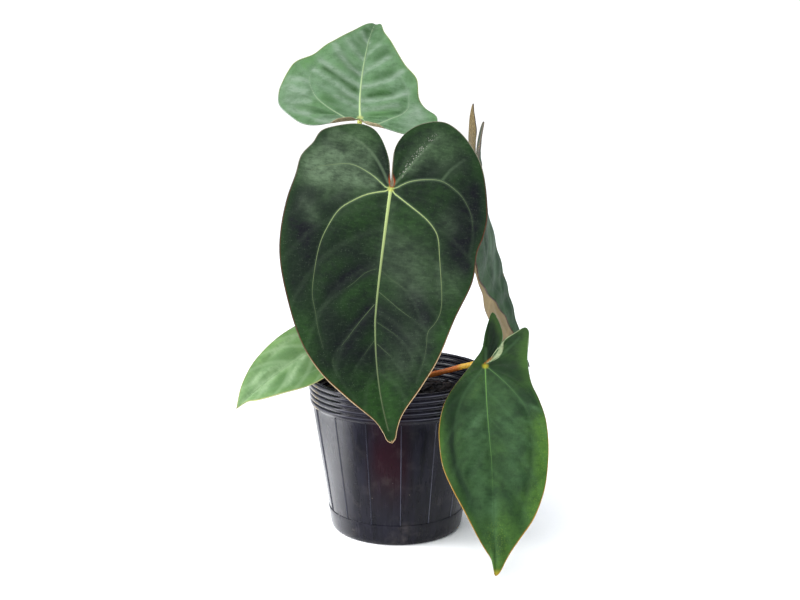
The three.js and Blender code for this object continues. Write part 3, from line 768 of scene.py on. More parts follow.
def blade_form(leaf):
    """The length of a blade, and where places of the flat blade lie, raised by a lift."""
    a, b, c, d = (np.array(point, float) for point in leaf["midrib"])
    way = np.linspace(0, 1, 1201)[:, None]
    back = 1 - way
    rib = back ** 3 * a + 3 * back ** 2 * way * b + 3 * back * way ** 2 * c + way ** 3 * d
    slope = unit(back ** 2 * (b - a) + 2 * back * way * (c - b) + way ** 2 * (d - c))
    walked = walk_along(rib)
    length = walked[-1]
    face = unit(np.array(leaf["face"], float))
    (fold, tip_fold), (twist, tip_twist) = leaf["fold"], leaf["twist"]
    lobe_bend = leaf["lobe_bend"]

    def place(s, t, lift=0.0):
        s, t = np.atleast_1d(s).astype(float), np.atleast_1d(t).astype(float)
        share = np.clip(s / length, 0, 1)
        point = at_distances(rib, walked, share * length)
        along = unit(at_distances(slope, walked, share * length))
        flat_up = unit(face - (along @ face)[:, None] * along)
        flat_side = np.cross(flat_up, along)
        turn = np.radians(twist + (tip_twist - twist) * share)[:, None]
        up = flat_up * np.cos(turn) + flat_side * np.sin(turn)
        side = flat_side * np.cos(turn) - flat_up * np.sin(turn)
        past = np.minimum(s, 0)[:, None]
        if lobe_bend > 0:
            bend = -past * lobe_bend
            point += (up * (1 - np.cos(bend)) - along * np.sin(bend)) / lobe_bend
            up = up * np.cos(bend) + along * np.sin(bend)
        else:
            point += along * past
        folded = np.radians(fold + (tip_fold - fold) * share)
        curl = np.interp(share, [0, 0.5, 1], leaf["curl"])
        curl = np.where(np.abs(curl) < 1e-6, 1e-6, curl)
        angle = folded + curl * np.abs(t)
        across = (np.sin(angle) - np.sin(folded)) / curl - lift * np.sin(angle)
        rise = (np.cos(folded) - np.cos(angle)) / curl + lift * np.cos(angle)
        return point + side * (np.sign(t) * across)[:, None] + up * rise[:, None]

    return length, place


def make_stalk(name, leaf):
    _, place = blade_form(leaf)
    junction = place(0, 0)[0]
    up = unit(place(0, 0, 1)[0] - junction)
    points = [np.array(point, float) for point in leaf["stalk"]]
    points = [points[0] * (0.2, 0.2, 1), *points, junction - 6 * up, junction - 0.2 * up]
    span = walk_along(np.array(points))[-1]
    knee_start = 1 - KNEE_LENGTH / span

    def radius_at(way):
        knee = eased(way, knee_start - 0.05, knee_start + 0.04)
        knee *= 1 - 0.25 * eased(way, 1 - 3 / span, 1)
        foot = 1 - eased(way, 0, 0.25)
        bump = 0.04 * math.sin(23 * way) + 0.025 * math.sin(51 * way)
        swelling = (leaf["knee"] - STALK_RADIUS) * knee + (STALK_FOOT_RADIUS - STALK_RADIUS) * foot
        return (STALK_RADIUS + swelling + bump) * MM

    stalk = rod(f"stalk_{name}_grown", [point * MM for point in points], radius_at, 110, 6)
    place_is_final(stalk, f"stalk_{name}_grown", 60)
    return stalk, knee_start


def stalk_skin(name, gold_start):
    """Orange-brown stalk skin, greener at its foot and golden at its knee."""
    tone = shade(150, 112, 60)
    skin = Skin(f"stalk_skin_{name}", tone, Roughness=0.44, Specular_IOR_Level=0.45)
    place, way = skin.place(), skin.attribute("way")
    streaks = skin.clouds(place.stretched(1, 1, 0.2), 900, 4, 0.6)
    skin.paint(way.spread(0.02, 0.3), shade(232, 132, 58))
    skin.paint(skin.clouds(place, 110).spread(0.35, 0.7, 0, 0.5), shade(190, 92, 40))
    skin.paint(way.spread(gold_start - 0.03, gold_start + 0.05), KNEE_COLOURS[name])
    skin.paint(streaks.spread(0.5, 0.75, 0, 0.35), shade(126, 68, 32))
    skin.paint(skin.specks(place, 900, 0.24, 0.1), shade(206, 160, 96))
    return skin.done(streaks, 0.25, 0.0004)


for name, leaf in LEAVES.items():
    stalk, knee_start = make_stalk(name, leaf)
    stalk.data.materials.append(stalk_skin(name, knee_start - GOLD_BEFORE_KNEE.get(name, 0)))
    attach(stalk, "root")
    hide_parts(f"stalk_{name}")


# The blades are heart-shaped and thin, velvety above and paler and smoother below. Each grows
# on the knee of its stalk, in one piece with its veins, which stand out of both faces. The
# blade puckers between the side veins, and its fine edge is golden towards the tip.
BLADE_THICKNESS = 0.6
EDGE_WIDTH = 0.36
LOBE_VEINS = 5
SIDE_VEINS = 7
SIDE_VEIN_SLANT = {"front": 2.2, "top": 1.5, "right": 1.8, "low": 1.9, "left": 1.9}
SIDE_VEIN_BOW = 0.1
ROWS_PER_MM = 0.72
COLUMNS = 44
VEIN_SIDES = 10
VEIN_BED = 0.04
VEIN_PROUD_ABOVE = 0.3
VEIN_PROUD_BELOW = 0.95
PUCKER_CLEAR_OF_VEIN = 3.5
GROOVE_DEPTH = 0.25
GROOVE_REACH = 2.2
RIPPLE_LENGTH = 18

# Where a margin near the junction is rolled up and over, so that its underside shows: the
# roll's radius, the side veins between which it runs, and how far round it turns.
ROLLS = {("top", "left"): (0.9, 0.05, 1.5, 3.5), ("top", "right"): (1, 0.05, 1.7, 3.5)}
NO_ROLL = (0, 0, 1, 3.5)

# The pale margin of the low leaf's right lobe, where it is folded back flat, is painted on the
# upper face in the underside's tone and not folded: how far it is from the junction and how wide it
# is there. The other margins have a blush near the junction.
LIPS = {("low", "right"): [(0, 0.2), (3, 0.9), (10, 3), (14, 2.6), (19, 0.6), (33, 0.4), (37, 0)]}
NO_LIP = [(0, -1)]
BLUSH_REACH = 9
BLUSH_WIDTH = 0.5
USUAL_APEX = -2
USUAL_TIP_LENGTH = 2

# The veins of each blade, in its flat form: the places that each one runs through, its half
# width where it starts, how clear it is at its start and end, and how yellow at its start. One
# whose end is below 0 fades out before it.
VEINS = {
    "front": [
        ([(1.8, -2.6), (5.4, -11.9), (10.8, -19.9), (17, -26.4), (27, -31), (36, -33.7),
          (47, -34.9), (61, -35.4), (68, -34), (72, -33), (80, -31.5), (89, -29)], 0.62, 0.95, 0.15,
          0.9),
        ([(2.4, 2.9), (7.3, 11.8), (13.3, 21.9), (19, 28), (25, 31.2), (36, 33.3), (49.4, 35.4),
          (61, 36.5), (70, 36), (77, 33), (82, 29.3), (92, 28), (100, 26), (112, 21)], 0.62, 0.95,
          0.15, 0.9),
        ([(-0.5, -3.1), (-5.7, -11.8), (-9, -21.3), (-9.1, -27.9), (-6.9, -35.5), (-4.5, -42.4),
          (-1.1, -46.8)], 0.62, 0.9, 0.4, 0.5),
        ([(-1.3, 3.2), (-5.8, 9.3), (-8.8, 17.8), (-9.8, 26.8), (-6.8, 34.8), (-2.3, 41.1),
          (4.4, 46), (11.8, 48.6), (22, 50), (32, 49.5)], 0.5, 0.85, -0.05, 0.6),
        ([(-3, -2), (-12, -8.5), (-20, -17), (-25, -28), (-26.5, -38)], 0.34, 0.12, 0.4, 0),
        ([(-3, 1.5), (-9, 5), (-16, 9), (-25, 14), (-33, 20)], 0.34, 0.15, 0.4, 0),
        ([(-9.8, 27), (-17, 31), (-24, 37)], 0.24, 0.12, 0.02, 0),
        ([(46, -0.8), (49, -7), (55, -13), (63, -23), (72, -33)], 0.34, 0.12, 0.4, 0),
        ([(66, -0.6), (75, -8), (85, -16), (95, -24), (105, -21), (117, -14)], 0.34, 0.4, 0.12, 0),
        ([(86, -0.6), (94, -7), (102, -13)], 0.3, 0.22, 0.05, 0),
        ([(58.5, 1), (64, 8), (69, 14), (75, 22), (82, 29)], 0.34, 0.25, 0.5, 0),
        ([(46, 1), (50, 6), (54, 12), (58, 17), (66, 22), (74, 25), (82, 28.6)], 0.3, 0.1, 0.4, 0),
        ([(76, 1), (80, 7), (85, 13), (92, 18), (99, 20)], 0.3, 0.15, 0.22, 0),
        ([(88, 1), (92, 5), (98, 10), (110, 16)], 0.3, 0.3, 0.1, 0),
    ],
    "top": [
        ([(-1.6, 3), (-2.6, 7), (1, 12), (8, 20), (15, 26), (24, 30), (31, 31), (40, 28.5),
          (50, 24)], 0.5, 0.95, 0.1, 1),
        ([(-3.5, -2.5), (-7, -8.5), (-2, -17), (3, -24), (9, -28), (14, -29), (26, -28), (40, -23)],
          0.5, 0.85, 0.1, 0.8),
        ([(-3, 4), (-6.5, 14), (-6, 24), (0, 34), (6, 40)], 0.3, 0.3, 0.1, 0),
    ],
    "right": [
        ([(1.5, -2.5), (6, -11), (14, -22), (26, -31), (42, -35), (60, -30), (80, -17), (98, -8)],
          0.5, 0.8, 0.3, 0.3),
        ([(1.5, 2.5), (7, 11), (16, 21), (30, 29), (50, 31), (74, 28), (98, 24), (118, 16)], 0.5,
          0.7, 0.1, 0.5),
        ([(-3, -2.5), (-11, -9), (-15, -18), (-13, -28), (-4, -38)], 0.34, 0.4, 0.1, 0),
        ([(-4, 1.2), (-14, 4), (-22, 9), (-12, 15)], 0.34, 0.4, 0.1, 0),
        ([(20, -0.6), (28, -10), (40, -22), (50, -31)], 0.3, 0.4, 0.2, 0),
        ([(42, -0.6), (50, -8), (60, -17), (68, -25)], 0.3, 0.4, 0.2, 0),
        ([(64, -0.6), (72, -7), (82, -14)], 0.3, 0.35, 0.2, 0),
    ],
    "low": [
        ([(1.5, -1.6), (3.9, -3.2), (7.6, -6.1), (13, -10), (18.8, -13.4), (27.1, -16.9),
          (37.7, -19.4), (52, -20), (68, -17.5), (84, -12), (98, -5.6)], 0.3, 0.28, -0.3, 0.6),
        ([(1.4, 1.6), (7, 6.3), (13.3, 11.3), (19.2, 15.4), (27, 20), (36, 22.6), (50, 23),
          (62, 21.6), (75, 19), (90, 16)], 0.36, 0.75, -0.5, 0.8),
        ([(-2, 0.8), (-7, 0.9), (-13, 1.4)], 0.34, 0.3, 0.05, 0.3),
        ([(-3.5, 4.6), (-8, 11), (-14, 17), (-19, 21.5)], 0.34, 0.3, 0.05, 0),
        ([(18, 0.6), (26, 7), (35, 13), (42, 19)], 0.26, 0.25, 0.1, 0),
        ([(34, 0.6), (44, 8), (54, 14), (62, 19)], 0.26, 0.25, 0.1, 0),
        ([(52, 0.6), (62, 7), (74, 13)], 0.26, 0.2, 0.08, 0),
        ([(26, -0.6), (34, -8), (44, -15)], 0.26, 0.2, 0.1, 0),
        ([(46, -0.6), (55, -7), (66, -13)], 0.26, 0.2, 0.08, 0),
    ],
    "left": [
        ([(1.2, -1.8), (7, -7.5), (17, -12), (32, -13.6), (48, -12.6), (62, -8.6), (74, -4.6)], 0.4,
          0.5, 0.1, 0.2),
        ([(1.2, 1.8), (8, 9), (19, 14.5), (34, 16.4), (50, 14), (64, 8.6), (75, 3.6)], 0.4, 0.5,
          0.1, 0.2),
        ([(-2.5, 2), (-6, 9), (-3, 17)], 0.3, 0.4, 0.05, 0),
        ([(-2.5, -2), (-6, -7), (-3, -13)], 0.3, 0.4, 0.05, 0),
    ],
}
MIDRIB = {
    "front": (1.15, 1, 0.25, 1), "top": (0.85, 1, 0.15, 0.9), "right": (0.9, 0.7, 0.2, 0.5),
    "low": (0.56, 0.95, 0.02, 0.8), "left": (0.7, 0.45, 0.4, 0.2),
}
MIDRIB_REACH = {"front": 0.95, "low": 0.84}
USUAL_MIDRIB_REACH = 0.985
MIDRIB_SWAY = {"front": 1.3, "top": 0, "right": 0, "low": -0.9, "left": 0.6}

# Soft patches of the upper face, in the flat blade, by tone: how strong each is, how far it
# reaches, and the places that it runs through; the shaded ones are painted shade on the underside.
# The dark patches are partly the leaf's own mottling and partly painted shade in hollows and
# between puckers, and the pale ones partly pale tissue and partly painted sheen. The last is the
# course of the dust.
PATCHES = {
    "front": {
        "bloom": [
            (0.44, 14, [(-9, -42), (-6, -28)]), (0.45, 5, [(-3, -48), (-1, -40)]),
            (0.4, 4, [(-3, -33), (-2, -20), (-1, -11)]),
            (0.35, 3, [(-13, -36), (-13, -26), (-10, -17)]),
            (0.3, 3, [(-26, -38), (-22, -26), (-17, -16)]), (0.2, 10, [(-28, -22)]),
            (0.2, 4, [(16, -46), (22, -40)]), (0.22, 4, [(-33, 19), (-24, 13), (-14, 8)]),
            (0.16, 2, [(40, 33), (60, 35)]), (0.18, 12, [(-26, 24)]),
            (0.2, 14, [(36, 13), (50, 20)]), (0.1, 10, [(100, 14), (84, 24)]),
            (0.14, 4.5, [(12, 34), (16, 37)]), (0.12, 3, [(0, 1), (14, 2), (30, 3)]),
            (0.14, 5, [(46, 43), (62, 42)])],
        "dusk": [
            (0.5, 3, [(-20, -43), (-15, -34)]), (0.5, 3.5, [(-22, -9), (-10, -6), (-4, -2)]),
            (0.4, 5, [(32, -44), (28, -37)]), (0.9, 5, [(46, -6), (53, -17), (60, -24)]),
            (0.9, 5, [(70, -3), (78, -9), (88, -18)]), (0.75, 6, [(30, -42), (46, -39)]),
            (0.7, 6, [(12, -44), (22, -49)]), (0.5, 5, [(10, -26), (18, -31)]),
            (0.9, 7, [(62, 21), (74, 27)]), (0.75, 5, [(78, 8), (88, 17)]),
            (0.75, 5, [(94, -8), (92, 3)]), (0.6, 4.5, [(70, 4), (76, 12)]),
            (0.4, 6, [(-16, 24), (-22, 35)]), (0.5, 5, [(-10, 14), (-13, 20)]),
            (0.85, 7, [(-8, 47), (6, 52), (20, 52)]), (0.7, 5, [(34, 43), (40, 48)]),
            (0.3, 2.6, [(-7, -4), (-13, -10)]), (0.4, 8, [(38, -14), (36, -24)]),
            (0.35, 9, [(44, 10), (52, 14)]), (0.4, 6, [(30, 48), (52, 50)]),
            (0.75, 9, [(4, 42), (26, 43)]), (0.5, 8, [(16, -50), (46, -49), (66, -43)]),
            (0.5, 9, [(72, -26), (92, -19)]), (0.5, 8, [(84, 22), (100, 14)])],
        "fresh": [
            (0.5, 6, [(-26, -30), (-26, -18)]), (0.3, 8, [(24, -50), (46, -50)]),
            (0.45, 5, [(53, -5), (60, -13), (67, -21)]), (0.5, 8, [(14, 10), (24, 20)]),
            (0.35, 8, [(12, -10), (26, -20)]), (0.8, 11, [(112, 0), (126, 0)]),
            (0.6, 7, [(70, 46), (52, 46), (84, 38)]), (0.55, 7, [(84, -38), (70, -42)]),
            (0.4, 8, [(-30, 16), (-26, 26)]), (0.3, 9, [(-26, -22)]), (0.4, 6, [(56, 8)])],
    },
    "top": {
        "bloom": [
            (0.6, 2, [(18, 1), (20, 6), (25, 13), (31, 22), (37, 29)]),
            (0.55, 2, [(29, 1), (33, 8), (40, 17), (46, 26)]),
            (0.55, 2, [(39, 1), (43, 8), (52, 15), (62, 20)]),
            (0.5, 2, [(53, 1), (58, 7), (67, 13)]), (0.5, 2, [(69, 0), (77, 6)]),
            (0.5, 2, [(10, 1), (11, 6), (16, 14)]),
            (0.6, 2, [(16, -1), (15, -9), (18, -20), (24, -28)]),
            (0.6, 2, [(28, -1), (29, -8), (35, -18), (44, -24)]),
            (0.5, 2, [(42, -1), (47, -8), (55, -14)]), (0.4, 2, [(57, -1), (66, -7)]),
            (0.5, 2, [(8, -2), (8, -10), (12, -22)]), (0.55, 2.4, [(0, 31), (2, 42)]),
            (0.55, 2.2, [(10, 30), (10, 45)]), (0.5, 3, [(18, 33), (22, 44)]),
            (0.5, 3, [(-4, 10), (-6, 24)]), (0.5, 5, [(0, -34), (12, -35), (-8, -28)]),
            (0.5, 2.2, [(27, 33), (29, 43)]), (0.22, 14, [(14, 42)])],
        "dusk": [
            (0.6, 2.4, [(17, 4), (19, 8), (21, 12)]),
            (0.9, 3, [(25, 4), (29, 9), (35, 16), (39, 22)]),
            (0.75, 3.4, [(39, 4), (44, 9), (52, 15)]), (0.45, 4, [(2, 12), (10, 16), (14, 20)]),
            (0.55, 2.6, [(0, 20), (4, 28), (7, 37)]), (0.55, 2.4, [(14, 32), (14, 42)]),
            (0.9, 3, [(20, -6), (22, -12), (22, -18)]), (0.5, 3, [(36, -9), (41, -17)]),
            (0.6, 3.6, [(54, -7), (60, -12)]), (0.6, 4, [(74, 3), (80, 4)]),
            (0.4, 2.2, [(7, -10), (5, -22)]), (0.45, 3, [(36, -30), (42, -28)]),
            (0.5, 5, [(84, 0), (96, 0)]), (0.35, 4, [(66, 6), (62, 12)]),
            (0.3, 16, [(72, 0), (96, 0)])],
        "fresh": [
            (0.5, 5, [(4, 18), (12, 25), (4, 34)]), (0.5, 4, [(22, -14)]),
            (0.6, 4, [(40, 36), (46, 33)]), (0.4, 5, [(6, -14), (2, -6)]),
            (0.3, 5, [(34, 20), (46, 12)])],
    },
    "right": {
        "bloom": [
            (0.5, 3, [(24, -2), (34, -12), (48, -24)]), (0.4, 3, [(46, -2), (56, -12), (66, -22)])],
        "dusk": [
            (0.6, 5, [(36, -28), (46, -36)]), (0.4, 5, [(60, -6), (76, -4)]),
            (0.5, 4, [(84, -8), (96, -4)]), (0.4, 4, [(64, -26), (74, -20)]),
            (0.95, 8, [(-10, -8), (-26, -15)])],
        "fresh": [
            (0.4, 6, [(40, -14), (30, -20)])],
        "shaded": [
            (1, 9, [(-12, -9), (-24, -14)])],
    },
    "low": {
        "bloom": [
            (0.4, 8, [(10, -5), (34, -9), (60, -9), (84, -4)]),
            (0.35, 7, [(16, 7), (40, 12), (66, 12)]), (0.55, 1.4, [(25, 18), (28, 24), (31, 29)]),
            (0.3, 1.4, [(34, 16), (37, 22)]), (0.3, 2, [(36, -8), (44, -4)]),
            (0.5, 2.4, [(80, 0), (98, -0.5), (112, 0)]),
            (0.35, 2.5, [(31, -2), (36, -9), (42, -15)]), (0.35, 2, [(34, 5), (42, 14), (50, 21)])],
        "dusk": [
            (0.95, 3.6, [(-3, 3), (-11, 5), (-20, 6.5), (-28, 6)]),
            (0.85, 2, [(34, -20), (48, -22), (60, -20.5), (70, -17), (80, -12)]),
            (0.5, 2.4, [(38, 4), (46, 8), (54, 12)]), (0.4, 2.4, [(20, 20), (26, 25)]),
            (0.3, 1.6, [(44, 22), (60, 21.5), (76, 18.5)]), (0.4, 3, [(30, -12), (40, -6)]),
            (0.5, 3, [(100, 3), (106, 3)]), (0.4, 4, [(58, 3), (66, 8)]),
            (0.3, 5, [(10, 18), (0, 12)]), (0.45, 5, [(14, -14), (34, -22)]),
            (0.35, 8, [(30, -8), (60, -12), (84, -6)])],
        "fresh": [
            (0.7, 5, [(36, 29), (50, 29.5), (68, 28), (88, 21)]), (0.5, 2.6, [(8, -3), (20, -8)]),
            (0.4, 2.4, [(26, -26), (46, -28.5), (64, -26)]), (0.4, 4, [(2, 22), (-14, 24)]),
            (0.8, 9, [(96, 2), (114, 0)]), (0.5, 2, [(-24, 9), (-34, 9)])],
    },
    "left": {
        "bloom": [
            (0.4, 2.4, [(34, -15), (50, -13)]), (0.6, 2.2, [(38, 1), (46, 6), (58, 13)]),
            (0.4, 2, [(52, -2), (60, -6), (70, -6)]), (0.4, 2, [(60, 1), (70, 5)]),
            (0.45, 2.2, [(40, 1), (60, 0), (84, 0)]), (0.16, 9, [(74, 0)]),
            (0.12, 10, [(46, -16), (62, -10)])],
        "dusk": [
            (0.6, 3.4, [(54, 7), (64, 9)]), (0.5, 3.4, [(42, -6), (52, -9)]),
            (0.5, 3, [(36, 12), (44, 17)]), (0.15, 3, [(64, -4), (74, -3)])],
        "fresh": [
            (0.5, 7, [(28, -16), (44, -18)]), (0.4, 4, [(30, 22), (48, 21)]),
            (0.4, 4, [(40, -19), (60, -14)])],
    },
}
DUST_COURSE = {"front": [(-34, 18), (-26, 13), (-17, 8), (-9, 4.5)]}


def distance_to(course, s, t):
    """How far places of the flat blade lie from a course through it."""
    if len(course) == 1:
        return np.hypot(s - course[0][0], t - course[0][1])
    course = np.asarray(course, float)
    places = np.column_stack([s, t])[:, None, :]
    starts, steps = course[None, :-1, :], np.diff(course, axis=0)[None, :, :]
    share = np.clip(((places - starts) * steps).sum(2) / (steps ** 2).sum(2), 0, 1)
    return np.linalg.norm(places - starts - share[:, :, None] * steps, axis=2).min(axis=1)


def bell(distance, reach):
    return np.exp(-((distance / reach) ** 2))


def new_mesh_piece(name, places, faces, slots, numbers, flat, materials):
    """A piece from places in millimetres, with named numbers and its flat place as a UV map."""
    mesh = bpy.data.meshes.new(name)
    mesh.from_pydata((np.asarray(places) * MM).tolist(), [], faces)
    for material in materials:
        mesh.materials.append(material)
    mesh.polygons.foreach_set("material_index", slots)
    for key, values in numbers.items():
        made = mesh.attributes.new(key, "FLOAT", "POINT")
        made.data.foreach_set("value", np.asarray(values, np.float32))
    corners = np.array([loop.vertex_index for loop in mesh.loops])
    flat_places = (np.asarray(flat)[corners] * MM).astype(np.float32).ravel()
    mesh.uv_layers.new(name="flat").data.foreach_set("uv", flat_places)
    piece = bpy.data.objects.new(name, mesh)
    bpy.context.collection.objects.link(piece)
    return piece


def rolled(name, side, number, reach):
    """Each place's share of the way to the margin, its gap to the edge, and a roll's lift."""
    radius, first, last, turn = ROLLS.get((name, side), NO_ROLL)
    ends = eased(number, first, first + 0.6) * (1 - eased(number, 0.35 * first + 0.65 * last, last))
    roll = np.minimum((radius * ends)[:, None], reach / 5)
    sheet = reach + (turn - 1) * roll
    edge = np.clip(EDGE_WIDTH / sheet, 0.008, 0.4)
    columns = 1 - (1 - np.linspace(0, 1, COLUMNS)[None, :]) ** 1.35
    columns = np.hstack([columns * (1 - edge), np.ones((len(reach), 1))])
    edge_gap = (1 - columns) * sheet
    turned = np.clip(turn - edge_gap / np.maximum(roll, 1e-6), 0, turn) * (roll > 1e-4)
    inward = np.where(turned > 0, roll * (1 - np.sin(turned)), edge_gap - (turn - 1) * roll)
    return 1 - inward / reach, edge_gap, roll * (1 - np.cos(turned))


def surface_numbers(name, side, s, t, length, margin):
    """The numbers of a half blade that its materials read: patches, blush, lip, dust and tip."""
    tip_length = PALE_TIPS[name][0] if name in PALE_TIPS else USUAL_TIP_LENGTH
    numbers = {"tip": np.clip(1 - (length - s) / tip_length, 0, 1)}
    for tone in ("dusk", "bloom", "fresh", "shaded"):
        left_over = np.ones(len(s))
        for strength, reach, course in PATCHES[name].get(tone, ()):
            left_over *= 1 - strength * bell(distance_to(course, s, t), reach)
        numbers[tone] = 1 - left_over
    from_junction, margin_gap = np.hypot(s, t), distance_to(margin, s, t)
    near = np.clip(2 - 2 * from_junction / BLUSH_REACH, 0, 1)
    numbers["blush"] = near * np.clip(1.6 - margin_gap / BLUSH_WIDTH, 0, 1)
    width = np.interp(from_junction, *zip(*LIPS.get((name, side), NO_LIP)))
    numbers["lip"] = np.clip((width - margin_gap) / 0.3 + 0.5, 0, 1)
    if name in DUST_COURSE:
        course_gap = distance_to(DUST_COURSE[name], s, t)
        numbers["dusty"] = np.clip(2 * bell(course_gap, 1.1), 0, 1)
    return numbers


def half_blade(name, side, leaf, length, courses):
    """A grid of places over one half: rows along the side veins, columns out to the margin."""
    hand = -1 if side == "left" else 1
    apex = (leaf.get("apex", USUAL_APEX), 0)
    outlines = {half: np.array([apex, *leaf[half], (length, 0)]) for half in ("left", "right")}
    rows = int(max(walk_along(line)[-1] for line in outlines.values()) * ROWS_PER_MM)
    share = np.linspace(0, 1, rows)
    margin = smooth_path(outlines[side], share)
    lobe = leaf["lobe_share"]
    way = np.clip((share - lobe) / (1 - lobe), 0, 1)
    number = np.where(share < lobe, LOBE_VEINS * share / lobe, LOBE_VEINS + SIDE_VEINS * way)
    root = np.column_stack([way ** SIDE_VEIN_SLANT[name] * length, np.zeros(rows)])
    across = margin - root
    reach = np.maximum(np.linalg.norm(across, axis=1), 0.01)[:, None]
    u, edge_gap, roll_lift = rolled(name, side, number, reach)
    bow = SIDE_VEIN_BOW * eased(way, 0, 0.2)[:, None] * np.sin(np.pi * np.clip(u, 0, 1))
    bow = np.stack([-across[:, 1][:, None] * bow, across[:, 0][:, None] * bow], axis=2) * hand
    flat = root[:, None, :] + across[:, None, :] * u[:, :, None] + bow
    count = u.shape[1]
    steps = np.gradient(np.repeat(number[:, None], count, axis=1), axis=0)
    pitch = np.linalg.norm(np.gradient(flat, axis=0), axis=2) / np.maximum(steps, 1e-6)

    s, t, u = flat[:, :, 0].ravel(), flat[:, :, 1].ravel(), u.ravel()
    number, along = np.repeat(number, count), np.repeat(share, count)
    gap = np.min([distance_to(course, s, t) for course in courses], axis=0)
    pucker = np.sin(np.pi * number) ** 2 * np.sin(np.pi * np.clip(1.1 * u, 0, 1)) * leaf["quilt"]
    wave = leaf["wave"] * np.sin(26 * along) * np.clip(u, 0, 1) ** 3 * (1 - along ** 4)
    ripple_turn = 2 * np.pi * (s - 4 + 3 * np.sin(s / 13)) / RIPPLE_LENGTH
    lift = pucker * (1 - bell(gap, PUCKER_CLEAR_OF_VEIN)) + wave
    lift += roll_lift.ravel() - GROOVE_DEPTH * bell(gap, GROOVE_REACH) * (u > 0.02)
    lift += leaf.get("ripple", 0) * np.sin(ripple_turn) * np.clip(s / 20, 0, 1)
    numbers = {"side_vein": number, "side_vein_pitch": pitch.ravel(), "vein_gap": gap}
    numbers["edge_gap"] = edge_gap.ravel()
    numbers |= surface_numbers(name, side, s, t, length, margin[:int(0.72 * lobe * rows)])
    faces, slots = [], []
    for row in range(rows - 1):
        for column in range(count - 1):
            corner = row * count + column
            ring = (corner, corner + 1, corner + count + 1, corner + count)
            faces.append(ring if hand < 0 else ring[::-1])
            slots.append(2 if column == count - 2 else 0)
    return s, t, lift, numbers, faces, slots


def make_sheet(name, leaf, length, place, courses, materials):
    """The blade's middle surface, one sheet from both halves."""
    one, other = (half_blade(name, side, leaf, length, courses) for side in ("left", "right"))
    offset = len(one[0])
    s, t, lift = (np.concatenate([one[k], other[k]]) for k in range(3))
    numbers = {key: np.concatenate([one[3][key], other[3][key]]) for key in one[3]}
    faces = one[4] + [tuple(corner + offset for corner in face) for face in other[4]]
    flat, slots = np.column_stack([t, s]), one[5] + other[5]
    piece = new_mesh_piece(name, place(s, t, lift), faces, slots, numbers, flat, materials)
    select_only(piece)
    bpy.ops.object.mode_set(mode="EDIT")
    bpy.ops.mesh.select_all(action="SELECT")
    bpy.ops.mesh.remove_doubles(threshold=0.003 * MM)
    bpy.ops.object.mode_set(mode="OBJECT")
    return piece


def vein_tube(tree, place, course, form, materials):
    """A tapered vein on its course, bedded in the sheet and proud of both of its faces."""
    half_width, clear_start, clear_end, yellow = form
    seats = [tree.find_nearest(Vector(point * MM)) for point in place(course[:, 0], course[:, 1])]
    centres = np.array([seat[0] for seat in seats]) / MM
    normals = np.array([seat[1] for seat in seats])
    sides = unit(np.cross(unit(np.gradient(centres, axis=0)), normals))
    way = np.linspace(0, 1, len(course))[:, None]
    width = half_width * (1 - 0.72 * way ** 0.8)
    places = []
    for corner in range(VEIN_SIDES):
        angle = 2 * math.pi * corner / VEIN_SIDES
        proud = VEIN_PROUD_ABOVE if math.sin(angle) > 0 else VEIN_PROUD_BELOW
        height = BLADE_THICKNESS / 2 - VEIN_BED + proud * width
        out, up = width * math.cos(angle), height * math.sin(angle)
        places.append(centres + sides * out + normals * up)
    places = np.stack(places, axis=1).reshape(-1, 3)
    faces, slots = [], []
    for station in range(len(course) - 1):
        for corner in range(VEIN_SIDES):
            a, b = station * VEIN_SIDES + corner, station * VEIN_SIDES + (corner + 1) % VEIN_SIDES
            faces.append((a, b, b + VEIN_SIDES, a + VEIN_SIDES))
            slots.append(0 if corner < VEIN_SIDES / 2 else 1)
    last = len(places) - VEIN_SIDES
    faces += [tuple(range(VEIN_SIDES))[::-1], tuple(range(last, last + VEIN_SIDES))]
    slots += [0, 0]
    fade = np.repeat(way[:, 0], VEIN_SIDES)
    same_all_over = {"side_vein": 0.5, "side_vein_pitch": 20, "vein_gap": 0, "edge_gap": 20}
    numbers = {key: np.full(len(places), value) for key, value in same_all_over.items()}
    numbers["vein"] = clear_start + (clear_end - clear_start) * fade ** 0.8
    numbers["yellow"] = yellow * (1 - fade) ** 0.9
    flat = np.repeat(course[:, ::-1], VEIN_SIDES, axis=0)
    return new_mesh_piece("vein", places, faces, slots, numbers, flat, materials)


def make_blade(name, leaf, materials):
    length, place = blade_form(leaf)
    shares = np.linspace(0, 1, 90)
    sway = MIDRIB_SWAY[name] * np.sin(np.pi * np.clip(shares / 0.55, 0, 1))
    midrib_length = MIDRIB_REACH.get(name, USUAL_MIDRIB_REACH) * length + 0.6
    midrib = np.column_stack([-0.6 + shares * midrib_length, sway])
    courses = [smooth_path(course, np.linspace(0, 1, 60)) for course, *_ in VEINS[name]]
    sheet = make_sheet(name, leaf, length, place, [midrib, *courses], materials)
    corners = [corner.co.copy() for corner in sheet.data.vertices]
    tree = BVHTree.FromPolygons(corners, [tuple(face.vertices) for face in sheet.data.polygons])
    veins = [vein_tube(tree, place, midrib, MIDRIB[name], materials)]
    for course, (_, *form) in zip(courses, VEINS[name]):
        if math.hypot(*course[0]) < 6:
            start = [(0, course[0][1] * 0.1), *course[:2]]
            course = np.vstack([smooth_path(start, np.linspace(0, 0.9, 5)), course[1:]])
        veins.append(vein_tube(tree, place, course, form, materials))
    slots = {"material_offset": 1, "material_offset_rim": 2}
    apply_modifier(sheet, "SOLIDIFY", thickness=BLADE_THICKNESS * MM, offset=0, **slots)
    join_into(sheet, veins)
    place_is_final(sheet, f"blade_{name}_grown", 70)
    return sheet
